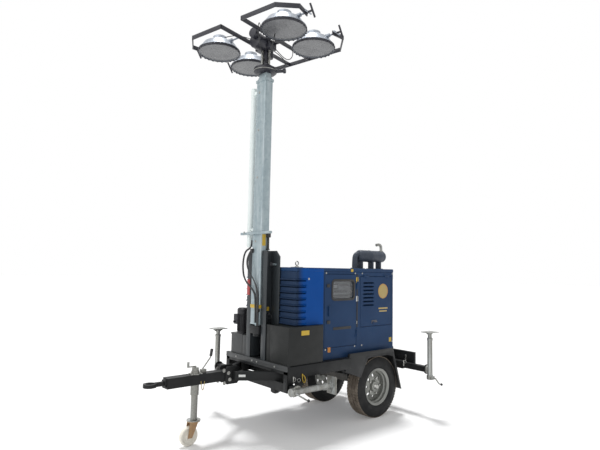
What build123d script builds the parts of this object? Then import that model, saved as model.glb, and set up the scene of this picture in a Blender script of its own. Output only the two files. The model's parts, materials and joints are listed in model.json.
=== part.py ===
from build123d import *
import os
from math import cos, hypot, radians, sin, tan

# A mobile light tower on a single-axle trailer, in millimetres.
# Forward (the towing eye) is -X, the trailer's left side is -Y, +Z is up and z = 0 is the ground.
# Stations along X are measured from the axle here. The finished model is moved along X at the end,
# so that its box is centred over the origin.

os.makedirs("parts", exist_ok=True)

# Driving dimensions

# Running gear
tyre_radius = 325.0
tyre_width = 185.0
tyre_outer_y = 488.0
rim_radius = 196.0
rim_well_radius = 158.0
rim_sheet = 6.0
bead_gap = 0.3
hub_radius = 52.0
stub_radius = 20.0
vent_count = 8
vent_radius = 17.0
vent_circle = 112.0
running_gap = 0.3
pin_fit = 0.05
axle_tube = 70.0
axle_x = -165.0
axle_z = 395.0
arm_thick = 18.0
mudguard_sheet = 4.0
mudguard_outer_y = 516.0
mudguard_gap = 30.0

# Frame and deck
deck_top = 690.0
deck_sheet = 5.0
deck_front_x = -1310.0
deck_half_y = 524.0
deck_front_lip = 50.0
deck_side_lip = 120.0
rail_size = 70.0
rail_width = 50.0
rail_y = 240.0
frame_rear_x = 530.0
rear_member_x = 480.0
front_member_x = -1262.0
member_size = 80.0
member_wall = 8.0
front_housing_half_y = 500.0
rear_housing_half_y = 470.0
light_bar_half_y = 588.0
light_bar_depth = 34.0
light_bar_bottom = 566.0
light_bar_height = 100.0

# Drawbar
drawbar_size = 90.0
drawbar_wall = 6.0
drawbar_front_x = -2253.0
drawbar_rear_x = -1600.0
drawbar_top = 622.0
yoke_width = 50.0
yoke_rear_x = -1190.0
yoke_rear_y = 400.0
clevis_plate = 12.0
clevis_length = 130.0
eye_x = -2394.0
eye_bore = 34.0
eye_ring = 22.0
eye_thick = 30.0
shank_radius = 21.0
brake_x = -1935.0
brake_length = 175.0
brake_lean = 35.0

# Jockey wheel
jockey_x = -1965.0
jockey_tube_radius = 30.0
jockey_sleeve_wall = 7.0
jockey_sleeve_bottom = 440.0
jockey_sleeve_top = 650.0
jockey_tube_top = 672.0
jockey_plate_z = 214.0
jockey_plate_radius = 62.0
jockey_wheel_radius = 85.0
jockey_wheel_width = 44.0
jockey_trail = 45.0
jockey_travel = 180.0
fork_sheet = 7.0

# Canopy
canopy_front_x = -1175.0
canopy_rear_x = 290.0
canopy_half_y = 456.0
canopy_top = 1604.0
canopy_wall = 28.0
base_box_front_x = -1276.0
base_box_top = 1030.0
base_box_inner_y = 240.0
base_box_wall = 6.0
panel_seam_x = -812.0
sill_z = 800.0
roof_sheet = 40.0
roof_radius = 35.0
pillar_x = -300.0
pillar_width = 56.0
door_gap = 5.0
control_door_top = 1545.0
rear_door_bottom = 978.0
rear_door_top = 1522.0
rear_post_width = 40.0
window_length = 315.0
window_height = 188.0
window_centre_x = -528.0
window_centre_z = 1380.0
window_sheet = 6.0
hinge_radius = 7.0
hinge_leaf = 28.0
hinge_sheet = 3.0
hinge_length = 80.0
louvre_count = 8
louvre_pitch = 62.0
louvre_top = 1478.0
louvre_height = 26.0
louvre_wrap = 130.0
side_slot_count = 7

# Machinery
engine_front_x = -770.0
engine_rear_x = 170.0
engine_side_gap = 158.0
engine_top = 1330.0
muffler_length = 430.0
muffler_radius = 62.0
muffler_y = -290.0
muffler_centre_x = 45.0
muffler_axis_z = 1722.0
tail_radius = 24.0
lift_eye_bore = 22.0
lift_eye_x = -953.0
lift_eye_y = 250.0
lift_eye_height = 36.0
lift_eye_sheet = 16.0
tank_front_x = -1360.0
tank_length_x = 155.0
tank_post_gap = 8.0
tank_side_gap = 74.0
panel_setback = 75.0
panel_sheet = 12.0
panel_bottom = 1150.0
panel_margin = 30.0
tank_height = 212.0
motor_radius = 52.0
motor_height = 190.0

# Mast
post_front_x = -1365.0
post_rear_x = -1187.0
post_sheet = 8.0
post_flange = 100.0
post_top = 1766.0
post_chamfer = 62.0
mast_front_x = -1325.0
mast_width = 152.0
mast_depth = 100.0
mast_wall = 5.0
mast_bottom = 1040.0
mast_top = 3560.0
mast_side_gap = 26.0
section_gap = 0.5
section_show = 14.0
section_count = 3
section_travel = 1650.0
pivot_x = -1205.0
pivot_z = 1630.0
pivot_radius = 10.0
pivot_sleeve = 17.0
mast_tilt = 90.0
guide_z = 1942.0
guide_half_y = 255.0
cable_tube_radius = 30.0
cable_tube_y = 165.0
cable_tube_bottom = 1805.0

# Lamp head
head_turn = 12.6
turntable_radius = 112.0
head_cap = 20.0
turntable_thick = 62.0
neck_radius = 42.0
neck_height = 288.0
frame_bar = 36.0
frame_bar_thick = 10.0
frame_bar_y = 165.0
frame_half_x = 548.0
frame_end_y = 640.0
lamp_x = 246.0
lamp_y = 445.0
lamp_radius = 222.0
lamp_drop = 94.0
lamp_pin_radius = 9.0
lamp_pin_y = 700.0
lamp_glass = 5.0
lamp_shell = 4.0
bezel_height = 26.0
dome_height = 150.0
dome_cap_radius = 72.0
lamp_tilt_up = 80.0
hub_ball_radius = 84.0

# Stabilisers
beam_size = 60.0
beam_gap = 0.4
jack_tube_radius = 30.0
jack_leg_radius = 23.0
jack_gap = 0.3
jack_out = 345.0
jack_back = 60.0
jack_leg_show = 60.0
jack_foot_radius = 83.0
jack_foot_thick = 8.0
jack_travel = 260.0
rear_jack_z = 508.0
front_jack_z = 492.0
swivel_plate = 10.0
swivel_gap = 5.5
crank_reach = 95.0
crank_radius = 7.0
knob_radius = 13.0
front_right_y = 790.0
rear_jack_y = 812.0
beam_travel = 180.0
beam_inner_y = 20.0
jack_in_y = 632.0

# Derived places
tyre_inner_y = tyre_outer_y - tyre_width
wheel_y = tyre_outer_y - tyre_width / 2
rail_top = deck_top - deck_sheet
rail_bottom = rail_top - rail_size
deck_rear_x = panel_seam_x
floor_top = rail_top + canopy_wall
yoke_height = rail_bottom - front_jack_z - member_size / 2
drawbar_z = drawbar_top - drawbar_size / 2
mast_x = mast_front_x + mast_depth / 2
post_inner_y = mast_width / 2 + mast_side_gap
post_outer_y = post_inner_y + post_flange
engine_half_y = canopy_half_y - canopy_wall - engine_side_gap
turntable_z = mast_top + section_count * section_show + head_cap
head_plane_z = turntable_z + turntable_thick + neck_height
nodes = {}


# Building helpers

def box(x0, x1, y0, y1, z0, z1):
    """A box between two corners."""
    solid = Box(x1 - x0, y1 - y0, z1 - z0)
    return Pos((x0 + x1) / 2, (y0 + y1) / 2, (z0 + z1) / 2) * solid


def rod(start, end, radius):
    """A round bar from one point to another."""
    begin, finish = Vector(*start), Vector(*end)
    run = finish - begin
    plane = Plane(origin=begin, z_dir=run)
    return extrude(plane * Circle(radius), run.length)


def tube(start, end, outer, inner):
    """A round tube from one point to another."""
    return rod(start, end, outer) - rod(start, end, inner)


def mirror_y(solid):
    """The same shape on the other side of the trailer."""
    return mirror(solid, about=Plane.XZ)


def fused(pieces):
    """One solid from pieces that touch or overlap."""
    whole = pieces[0]
    for piece in pieces[1:]:
        whole = whole + piece
    return whole


def plate_xz(points, y0, y1):
    """A flat plate with its outline in X and Z, between two places in Y."""
    face = make_face(Polyline(*[(x, 0, z) for x, z in points], close=True))
    flat = extrude(face, abs(y1 - y0), dir=(0, 1, 0))
    return Pos(0, min(y0, y1), 0) * flat


def plate_xy(points, z0, z1):
    """A flat plate with its outline in X and Y, between two heights."""
    face = make_face(Polyline(*[(x, y, 0) for x, y in points], close=True))
    return Pos(0, 0, z0) * extrude(face, z1 - z0, dir=(0, 0, 1))


def turned(points, axis=Axis.Z):
    """A solid of revolution from radius and height pairs in the XZ plane."""
    face = make_face(Polyline(*[(r, 0, z) for r, z in points], close=True))
    return revolve(face, axis, 360)


# Wheels

def make_wheel(side):
    """Tyre and steel rim, with the disc vented; side is -1 on the left and 1 on the right."""
    half = tyre_width / 2
    shoulder = 26.0
    tread = tyre_radius
    wall = tyre_radius - shoulder
    lip = half - 16
    bead = lip - rim_sheet - bead_gap
    seat = rim_well_radius + rim_sheet + 12
    outline = [(rim_radius + bead_gap, -bead), (wall - 30, -half), (wall, -half + 3), (tread, -half + shoulder),
               (tread, half - shoulder), (wall, half - 3), (wall - 30, half), (rim_radius + bead_gap, bead),
               (seat + bead_gap, lip - 20), (seat + bead_gap, -lip + 20)]
    tyre = turned(outline)
    rim_outline = [(rim_radius, -lip), (rim_radius, -lip + rim_sheet), (seat, -lip + 20),
                   (seat, -lip + 46), (rim_well_radius + rim_sheet, -lip + 56),
                   (rim_well_radius + rim_sheet, lip - 56), (seat, lip - 46), (seat, lip - 20),
                   (rim_radius, lip - rim_sheet), (rim_radius, lip), (seat - rim_sheet, lip - 14),
                   (seat - rim_sheet, lip - 42), (rim_well_radius, lip - 52),
                   (rim_well_radius, -lip + 52), (seat - rim_sheet, -lip + 42),
                   (seat - rim_sheet, -lip + 14)]
    rim = turned(rim_outline)
    # The disc bulges outward round the bolts and closes over the hub.
    bearing = stub_radius + pin_fit
    disc_outline = [(rim_well_radius + 2, -4), (128, 4), (96, 22), (72, 24), (hub_radius, 16),
                    (hub_radius, 46), (38, 52), (0, 52), (0, 30), (bearing, 30), (bearing, -10), (40, -10),
                    (hub_radius - 8, 8), (72, 12), (92, 10), (124, -8), (rim_well_radius + 2, -16)]
    disc = turned(disc_outline)
    for step in range(vent_count):
        hole = Rot(0, 0, step * 360 / vent_count) * Pos(vent_circle, 0, 0) * Cylinder(vent_radius, 80)
        disc = disc - hole
    rim = rim + disc
    facing = Pos(0, side * wheel_y, tyre_radius) * Rot(-90 * side, 0, 0)
    return facing * tyre, facing * rim


for side, name in ((-1, "left"), (1, "right")):
    nodes["tyre_" + name], nodes["rim_" + name] = make_wheel(side)


def make_axle():
    """Square torsion tube under the rails, with a trailing arm and stub for each wheel."""
    half = axle_tube / 2
    reach = tyre_inner_y - arm_thick - 8
    axle = box(axle_x - half, axle_x + half, -reach, reach, axle_z - half, axle_z + half)
    arm_outer = reach + arm_thick
    hub_place = wheel_y + 30 - running_gap
    for side in (-1, 1):
        arm = plate_xz([(axle_x - 34, axle_z - 34), (axle_x - 34, axle_z + 30), (axle_x + 20, axle_z + 36),
                        (24, tyre_radius + 26), (30, tyre_radius - 8), (4, tyre_radius - 32)],
                       reach, arm_outer)
        stub = rod((0, arm_outer - arm_thick, tyre_radius), (0, hub_place, tyre_radius), stub_radius)
        hanger = plate_xz([(axle_x - 70, rail_bottom), (axle_x + 70, rail_bottom),
                           (axle_x + half + 12, axle_z - 10), (axle_x - half - 12, axle_z - 10)],
                          rail_y - rail_width / 2, rail_y - rail_width / 2 + 10)
        if side < 0:
            arm, stub, hanger = mirror_y(arm), mirror_y(stub), mirror_y(hanger)
        axle = fused([axle, arm, stub, hanger])
    return axle


nodes["axle"] = make_axle()


def make_mudguards():
    """Folded sheet guards with a sloped front, a flat top and a sloped rear, each hung from a bracket."""
    inner_y = tyre_inner_y - 10
    r = tyre_radius + mudguard_gap
    top = tyre_radius * 2 + mudguard_gap
    outer = [(-r - 110, 520), (-r + 20, top), (r - 95, top), (r + 50, 255), (r + 50 - mudguard_sheet * 1.6, 255),
             (r - 95 - mudguard_sheet, top - mudguard_sheet), (-r + 20 + mudguard_sheet, top - mudguard_sheet),
             (-r - 110 + mudguard_sheet * 1.6, 520)]
    sheet = plate_xz(outer, inner_y, mudguard_outer_y)
    side_plate = [(-r - 110, 520), (-r + 20, top), (r - 95, top), (r + 50, 255), (r + 42, 255),
                  (r - 104, top - 42), (-r + 26, top - 42), (-r - 98, 520)]
    skirt = plate_xz(side_plate, mudguard_outer_y - mudguard_sheet, mudguard_outer_y)
    stay = box(-r + 60, r - 140, rail_y + rail_width / 2, inner_y + 30, top - 10, top - mudguard_sheet)
    foot = box(-r + 60, r - 140, rail_y + rail_width / 2, rail_y + rail_width / 2 + 6, top - 60, top - 5)
    guard = fused([sheet, skirt, stay, foot])
    return Compound(children=[guard, mirror_y(guard)])


nodes["mudguards"] = make_mudguards()


# Frame

def make_frame():
    """Two rails, the cross members and the two square housings that the outrigger beams slide in."""
    pieces = []
    for side in (-1, 1):
        y0 = side * rail_y - rail_width / 2
        pieces.append(box(front_member_x, frame_rear_x, y0, y0 + rail_width, rail_bottom, rail_top))
    for x in (-780.0, 60.0):
        pieces.append(box(x - 25, x + 25, -rail_y, rail_y, rail_bottom + 10, rail_top))
    bore = beam_size / 2 + beam_gap
    frame = fused(pieces)
    for x, half_y, z in ((front_member_x, front_housing_half_y, front_jack_z),
                         (rear_member_x, rear_housing_half_y, rear_jack_z)):
        half = member_size / 2
        frame = frame + box(x - half, x + half, -half_y, half_y, z - half, z + half)
        if z + half < rail_bottom:
            for side in (-1, 1):
                y0, y1 = sorted((side * (rail_y - rail_width / 2), side * (rail_y + 10)))
                frame = frame + box(x - half, x + half - 20, y0, y1, z + half, rail_bottom)
        frame = frame - box(x - bore, x + bore, -half_y, half_y, z - bore, z + bore)
    return frame


nodes["chassis_frame"] = make_frame()


def make_deck():
    """Front deck: a plate with its edges turned down, deeper along the sides."""
    lip = deck_sheet
    plate = box(deck_front_x, deck_rear_x, -deck_half_y, deck_half_y, deck_top - deck_sheet, deck_top)
    front = box(deck_front_x, deck_front_x + lip, -deck_half_y, deck_half_y, deck_top - deck_front_lip, deck_top)
    side_points = [(deck_front_x, deck_top - deck_front_lip), (deck_front_x, deck_top), (deck_rear_x, deck_top),
                   (deck_rear_x, deck_top - deck_side_lip), (deck_front_x + 90, deck_top - deck_side_lip)]
    side = plate_xz(side_points, deck_half_y - lip, deck_half_y)
    return fused([plate, front, side, mirror_y(side)])


nodes["front_deck"] = make_deck()


def make_light_bar():
    """Rear bumper bar that carries the road lamps, closed at both ends."""
    x0 = frame_rear_x
    bar = box(x0, x0 + light_bar_depth, -light_bar_half_y, light_bar_half_y,
              light_bar_bottom, light_bar_bottom + light_bar_height)
    return fillet(bar.edges().filter_by(Axis.Y), 6)


nodes["rear_light_bar"] = make_light_bar()


def make_yoke():
    """V-shaped yoke: two beams spread from the bolted plates to the frame."""
    z0 = rail_bottom - yoke_height
    inner = drawbar_size / 2
    front_x = drawbar_rear_x - clevis_length
    plate = box(front_x, drawbar_rear_x + 70, inner, inner + clevis_plate,
                drawbar_top - drawbar_size - 8, drawbar_top + 8)
    beam = plate_xy([(drawbar_rear_x, inner), (drawbar_rear_x, inner + yoke_width * 1.15),
                     (yoke_rear_x, yoke_rear_y), (yoke_rear_x, yoke_rear_y - yoke_width * 1.15)],
                    z0, rail_bottom)
    post = box(yoke_rear_x - 50, yoke_rear_x, rail_y - 5, yoke_rear_y, z0, rail_bottom)
    web = box(drawbar_rear_x + 10, drawbar_rear_x + 22, -inner, inner, z0, rail_bottom)
    tail = box(yoke_rear_x - 12, yoke_rear_x, -yoke_rear_y + 20, yoke_rear_y - 20, z0, rail_bottom)
    return fused([plate, beam, post, mirror_y(plate), mirror_y(beam), mirror_y(post), web, tail])


nodes["drawbar_yoke"] = make_yoke()


def make_drawbar():
    """Square drawbar with the hole for the jockey wheel's sleeve and a closed nose."""
    half = drawbar_size / 2
    z0, z1 = drawbar_z - half, drawbar_z + half
    bar = box(drawbar_front_x, drawbar_rear_x, -half, half, z0, z1)
    inside = half - drawbar_wall
    bar = bar - box(drawbar_front_x + 40, drawbar_rear_x, -inside, inside, z0 + drawbar_wall, z1 - drawbar_wall)
    hole = jockey_tube_radius + running_gap + jockey_sleeve_wall
    return bar - rod((jockey_x, 0, z0 - 5), (jockey_x, 0, z1 + 5), hole)


nodes["drawbar"] = make_drawbar()


def make_eye():
    """Towing eye: a forged ring on a shank that runs into the drawbar's nose."""
    ring = rod((eye_x, 0, drawbar_z - eye_thick / 2), (eye_x, 0, drawbar_z + eye_thick / 2), eye_bore + eye_ring)
    shank = rod((eye_x + eye_bore, 0, drawbar_z), (drawbar_front_x, 0, drawbar_z), shank_radius)
    collar = rod((drawbar_front_x - 18, 0, drawbar_z), (drawbar_front_x, 0, drawbar_z), 38)
    bore = rod((eye_x, 0, drawbar_z - 60), (eye_x, 0, drawbar_z + 60), eye_bore)
    return fused([ring, shank, collar]) - bore


nodes["towing_eye"] = make_eye()


def make_brake():
    """Parking brake lever with its grip, on a small bracket beside the jockey wheel."""
    z0 = drawbar_top
    lean = radians(brake_lean)
    top = (brake_x + 30 + brake_length * sin(lean), 0, z0 + 32 + brake_length * cos(lean))
    start = (brake_x + 55, 0, z0 + 32)
    bracket = box(brake_x + 35, brake_x + 95, -14, 14, z0, z0 + 40)
    mid = tuple(start[i] + (top[i] - start[i]) * 0.66 for i in range(3))
    return fused([bracket, rod(start, top, 8), rod(mid, top, 15)])


nodes["handbrake"] = make_brake()


# Jockey wheel

def make_jockey():
    """Clamp sleeve, sliding tube with its crank, swivelling fork and wheel."""
    hole = jockey_tube_radius + running_gap
    sleeve = tube((jockey_x, 0, jockey_sleeve_bottom), (jockey_x, 0, jockey_sleeve_top),
                  hole + jockey_sleeve_wall, hole)
    flange = tube((jockey_x, 0, drawbar_top), (jockey_x, 0, drawbar_top + 8), hole + 20, hole)
    nodes["jockey_sleeve"] = sleeve + flange
    post = tube((jockey_x, 0, jockey_plate_z + 8), (jockey_x, 0, jockey_tube_top), jockey_tube_radius, 24)
    plate = rod((jockey_x, 0, jockey_plate_z), (jockey_x, 0, jockey_plate_z + 8), jockey_plate_radius)
    cap = rod((jockey_x, 0, jockey_tube_top - 10), (jockey_x, 0, jockey_tube_top + 6), jockey_tube_radius)
    crank = rod((jockey_x, 0, jockey_tube_top), (jockey_x, 0, jockey_tube_top + 22), 8)
    arm = rod((jockey_x, 0, jockey_tube_top + 18), (jockey_x - 78, 0, jockey_tube_top + 18), 6)
    grip = rod((jockey_x - 74, 0, jockey_tube_top + 14), (jockey_x - 74, 0, jockey_tube_top + 62), 11)
    nodes["jockey_tube"] = fused([post, plate, cap, crank, arm, grip])
    # The fork hangs under the plate and trails forward.
    wheel_x = jockey_x - jockey_trail
    half = jockey_wheel_width / 2
    top = jockey_plate_z - running_gap
    crown = rod((jockey_x, 0, top - 8), (jockey_x, 0, top), jockey_plate_radius - 4)
    cheek = plate_xz([(jockey_x - 46, top - 4), (jockey_x + 34, top - 4), (wheel_x + 20, jockey_wheel_radius - 12),
                      (wheel_x - 20, jockey_wheel_radius - 12)], half + 4, half + 4 + fork_sheet)
    pin = rod((wheel_x, -half - 4 - fork_sheet, jockey_wheel_radius),
              (wheel_x, half + 4 + fork_sheet, jockey_wheel_radius), 9)
    nodes["jockey_fork"] = fused([crown, cheek, mirror_y(cheek), pin])
    r = jockey_wheel_radius
    outline = [(9 + running_gap, -half), (24, -half), (28, -half + 6), (r - 24, -half + 6), (r - 16, -half),
               (r - 5, -half + 3), (r, -half + 10), (r, half - 10), (r - 5, half - 3), (r - 16, half),
               (r - 24, half - 6), (28, half - 6), (24, half), (9 + running_gap, half)]
    nodes["jockey_wheel"] = Pos(wheel_x, 0, r) * Rot(90, 0, 0) * turned(outline)


make_jockey()


# Canopy

def make_base_box():
    """Black base of the front end, stepped back round the mast posts."""
    back_x = panel_seam_x
    notch_x = post_rear_x + 12
    w = base_box_wall
    points = [(base_box_front_x, -canopy_half_y), (back_x, -canopy_half_y), (back_x, canopy_half_y),
              (notch_x, canopy_half_y), (notch_x, -base_box_inner_y), (base_box_front_x, -base_box_inner_y)]
    inside = [(base_box_front_x + w, -canopy_half_y + w), (back_x - w, -canopy_half_y + w),
              (back_x - w, canopy_half_y - w), (notch_x + w, canopy_half_y - w),
              (notch_x + w, -base_box_inner_y - w), (base_box_front_x + w, -base_box_inner_y - w)]
    return plate_xy(points, deck_top, base_box_top) - plate_xy(inside, deck_top + w, base_box_top - w)


nodes["front_base_box"] = make_base_box()


def louvre(x0, x1, y_face, z, depth):
    """A slanting slot cut through a side wall; depth points into the wall."""
    lower = z - louvre_height / 2
    upper = z + louvre_height / 2
    y_in = y_face + depth
    face = make_face(Polyline((x0, y_face, lower), (x0, y_face, upper - 8), (x0, y_in, upper + 6),
                              (x0, y_in, lower + 14), close=True))
    return extrude(face, x1 - x0, dir=(1, 0, 0))


def make_front_panel():
    """Louvred front end of the canopy: a hollow box, open to the rear, its slots wrapping the corners."""
    x0, x1, y = canopy_front_x, panel_seam_x - 2, canopy_half_y
    z0, z1 = base_box_top, canopy_top - roof_sheet
    shell = box(x0, x1, -y, y, z0, z1)
    shell = fillet(shell.edges().filter_by(Axis.Z).group_by(Axis.X)[0], 18)
    w = canopy_wall
    shell = shell - box(x0 + w, x1, -y + w, y - w, z0 + w, z1 + 1)
    for step in range(louvre_count):
        z = louvre_top - step * louvre_pitch + 40
        if z < z0 + louvre_height * 2:
            continue
        slot = louvre(x0 + 30, x0 + louvre_wrap, -y - 0.5, z, w + 1)
        shell = shell - slot - mirror_y(slot)
        lower = z - louvre_height / 2
        face = make_face(Polyline((x0 - 0.5, 0, lower), (x0 - 0.5, 0, lower + louvre_height - 8),
                                  (x0 + w + 0.5, 0, lower + louvre_height + 6), (x0 + w + 0.5, 0, lower + 14),
                                  close=True))
        for y0, y1 in ((-y + 30, -post_outer_y + 20), (-post_inner_y + 10, post_inner_y - 10),
                       (post_outer_y - 20, y - 30)):
            cut = extrude(face, y1 - y0, dir=(0, 1, 0))
            shell = shell - Pos(0, y0, 0) * cut
    return shell


nodes["front_panel"] = make_front_panel()


def make_roof():
    """Roof cap with rounded long edges, seated on the walls."""
    z0 = canopy_top - roof_sheet
    roof = box(canopy_front_x, canopy_rear_x, -canopy_half_y, canopy_half_y, z0, canopy_top)
    tops = roof.edges().group_by(Axis.Z)[-1]
    return fillet(tops, 14)


nodes["canopy_roof"] = make_roof()

control_front_x = panel_seam_x + 12
control_rear_x = pillar_x - pillar_width / 2
rear_door_front_x = pillar_x + pillar_width / 2
rear_door_rear_x = canopy_rear_x - rear_post_width


def make_canopy_frame():
    """Sill, pillars, rear wall and the fixed panels, with the doors' openings cut out."""
    x0, x1, y, w = panel_seam_x, canopy_rear_x, canopy_half_y, canopy_wall
    z0, z1 = rail_top, canopy_top - roof_sheet
    shell = box(x0, x1, -y, y, z0, z1)
    shell = fillet(shell.edges().filter_by(Axis.Z).group_by(Axis.X)[-1], 18)
    shell = shell - box(x0 - 1, x1 - w, -y + w, y - w, z0 + w, z1 + 1)
    for xa, xb, za, zb, sides in ((control_front_x, control_rear_x, sill_z, control_door_top, (-1,)),
                                  (rear_door_front_x, rear_door_rear_x, rear_door_bottom, rear_door_top, (-1, 1))):
        for side in sides:
            cut = box(xa, xb, side * y - w - 5, side * y + w + 5, za, zb)
            shell = shell - cut
    fixed = service_hinges(False)
    return fused([shell] + control_hinges(False) + fixed + [mirror_y(half) for half in fixed])


def hinge(place, length, gap, moving):
    """Half of a butt hinge lying along local Z: a leaf and half of the barrel; the moving half is below."""
    z0, z1 = (-length / 2, -gap / 2) if moving else (gap / 2, length / 2)
    x0, x1 = (-hinge_leaf, 0) if moving else (0, hinge_leaf)
    barrel = rod((0, -hinge_radius, z0), (0, -hinge_radius, z1), hinge_radius)
    return place * (barrel + box(x0, x1, -hinge_sheet, 0, z0, z1))


def control_hinges(moving):
    """The control door's hinges, on its rear edge."""
    return [hinge(Pos(control_rear_x, -canopy_half_y, z), hinge_length, running_gap, moving)
            for z in (sill_z + 120, control_door_top - 120)]


def service_hinges(moving):
    """The left service door's hinges, along its top edge; local X points up the wall."""
    return [hinge(Pos(x, -canopy_half_y, rear_door_top) * Rot(0, -90, 0), hinge_length, running_gap, moving)
            for x in (rear_door_front_x + 90, rear_door_rear_x - 90)]


def make_doors():
    """Control door with its window, and a top-hinged service door on each side."""
    y, w, g = canopy_half_y, canopy_wall, door_gap
    door = box(control_front_x + g, control_rear_x - g, -y, -y + w - 2, sill_z + g, control_door_top - g)
    hole = Pos(window_centre_x, -y, window_centre_z) * Box(window_length, 200, window_height)
    hole = fillet(hole.edges().filter_by(Axis.Y), 40)
    door = door - hole
    door = fused([door] + control_hinges(True))
    latch = box(-745, -715, -y - 14, -y, 1120, 1220)
    nodes["control_door"] = door + latch
    seat = 0.4
    glass = Pos(window_centre_x, -y + w / 2, window_centre_z) * Box(window_length - seat, window_sheet,
                                                                     window_height - seat)
    nodes["control_window"] = fillet(glass.edges().filter_by(Axis.Y), 40 - seat / 2)
    leaf = box(rear_door_front_x + g, rear_door_rear_x - g, -y, -y + w - 2, rear_door_bottom + g, rear_door_top - g)
    slot_x0 = rear_door_front_x + 50
    for step in range(side_slot_count):
        z = 1452 - step * 40
        leaf = leaf - louvre(slot_x0, slot_x0 + 170, -y - 0.5, z, w + 1)
    handle = box(-75, -5, -y - 12, -y, 1005, 1030)
    leaf = fused([leaf, handle] + service_hinges(True))
    nodes["service_door_left"] = leaf
    nodes["service_door_right"] = mirror_y(leaf)


make_doors()
nodes["canopy_frame"] = make_canopy_frame()

nodes["engine_generator"] = box(engine_front_x, engine_rear_x, -engine_half_y, engine_half_y,
                                floor_top, engine_top)


def make_control_panel():
    """Control panel behind the door, on a bracket from the floor."""
    y = -canopy_half_y + panel_setback
    back = y + panel_sheet
    panel = box(control_front_x + panel_margin, control_rear_x - panel_margin, y, back,
                panel_bottom, control_door_top - 1.5 * panel_margin)
    middle = (control_front_x + control_rear_x) / 2
    leg = box(middle - 20, middle + 20, back, back + 28, floor_top, panel_bottom + 150)
    return panel + leg


nodes["control_panel"] = make_control_panel()


def make_muffler():
    """Muffler on two legs, with its inlet elbow and a raised tail pipe under a rain cap."""
    z = muffler_axis_z
    x0, x1 = muffler_centre_x - muffler_length / 2, muffler_centre_x + muffler_length / 2
    body = rod((x0, muffler_y, z), (x1, muffler_y, z), muffler_radius)
    body = chamfer(body.edges(), 10)
    pieces = [body]
    for x in (x0 + 70, x1 - 70):
        pieces.append(box(x - 14, x + 14, muffler_y - 36, muffler_y + 36, canopy_top, z - 40))
    pieces.append(rod((x0 + 30, muffler_y, canopy_top), (x0 + 30, muffler_y, z - 40), tail_radius))
    pieces.append(rod((x1 - 60, muffler_y, z + 40), (x1 - 60, muffler_y, z + 120), tail_radius))
    cap = rod((x1 - 60, muffler_y, z + 116), (x1 - 60, muffler_y, z + 128), tail_radius + 16)
    pieces.append(cap)
    return fused(pieces)


nodes["muffler"] = make_muffler()


def make_lift_eye():
    """Lifting eye plate on the roof."""
    half, high = 60.0, 70.0
    plate = plate_xz([(lift_eye_x - half, canopy_top), (lift_eye_x - 30, canopy_top + high),
                      (lift_eye_x + 30, canopy_top + high), (lift_eye_x + half, canopy_top)],
                     -lift_eye_sheet / 2, lift_eye_sheet / 2)
    eye_z = canopy_top + lift_eye_height
    hole = rod((lift_eye_x, -60, eye_z), (lift_eye_x, 60, eye_z), lift_eye_bore)
    foot = box(lift_eye_x - 75, lift_eye_x + 75, -45, 45, canopy_top, canopy_top + 8)
    return Pos(0, lift_eye_y, 0) * (plate + foot - hole)


nodes["lifting_eye"] = make_lift_eye()


def make_power_pack():
    """Hydraulic tank on the deck with its upright electric motor and terminal box."""
    y0, y1 = post_outer_y + tank_post_gap, deck_half_y - tank_side_gap
    tank = box(tank_front_x, tank_front_x + tank_length_x, y0, y1, deck_top, deck_top + tank_height)
    tank = fillet(tank.edges().filter_by(Axis.Z), 16)
    top = deck_top + tank_height
    mx, my = tank_front_x + tank_length_x / 2 + 8, (y0 + y1) / 2 - 15
    flange = rod((mx, my, top), (mx, my, top + 26), motor_radius + 4)
    body = rod((mx, my, top + 26), (mx, my, top + 26 + motor_height), motor_radius - 6)
    fins = body
    for step in range(16):
        fin = Rot(0, 0, step * 360 / 16) * Pos(motor_radius - 5, 0, 0) * Box(12, 3, motor_height - 40)
        fins = fins + Pos(mx, my, top + 26 + (motor_height - 20) / 2) * fin
    cover = rod((mx, my, top + motor_height - 20), (mx, my, top + 36 + motor_height), motor_radius)
    terminal = box(mx - 40, mx + 30, my + motor_radius - 10, my + motor_radius + 42, top + 70, top + 160)
    nodes["hydraulic_pack"] = fused([tank, flange, fins, cover, terminal])


make_power_pack()


# Mast

def make_posts():
    """Two channel posts with their flanges outward, bevelled at the top, bored for the tilt pin."""
    x0, x1 = post_front_x, post_rear_x
    c = post_chamfer
    web = plate_xz([(x0, deck_top), (x1, deck_top), (x1, post_top - c), (x1 - c * 0.4, post_top), (x0, post_top)],
                   post_inner_y, post_inner_y + post_sheet)
    front = box(x0, x0 + post_sheet, post_inner_y, post_outer_y, deck_top, post_top)
    rear = box(x1 - post_sheet, x1, post_inner_y, post_outer_y, deck_top, post_top - c)
    foot = box(x0 + post_sheet, x1 - post_sheet, post_inner_y, post_outer_y, deck_top, deck_top + 12)
    post = fused([web, front, rear, foot])
    post = post - rod((pivot_x, 0, pivot_z), (pivot_x, 400, pivot_z), pivot_radius + pin_fit)
    return Compound(children=[post, mirror_y(post)])


nodes["mast_posts"] = make_posts()


def hollow_section(width, depth, wall, bottom, top):
    """A rectangular mast tube, open at both ends."""
    solid = box(mast_x - depth / 2, mast_x + depth / 2, -width / 2, width / 2, bottom, top)
    solid = fillet(solid.edges().filter_by(Axis.Z), min(8.0, wall * 1.6))
    inside_w, inside_d = width / 2 - wall, depth / 2 - wall
    return solid - box(mast_x - inside_d, mast_x + inside_d, -inside_w, inside_w, bottom - 1, top + 1)


section_wall = 4.0


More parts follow.
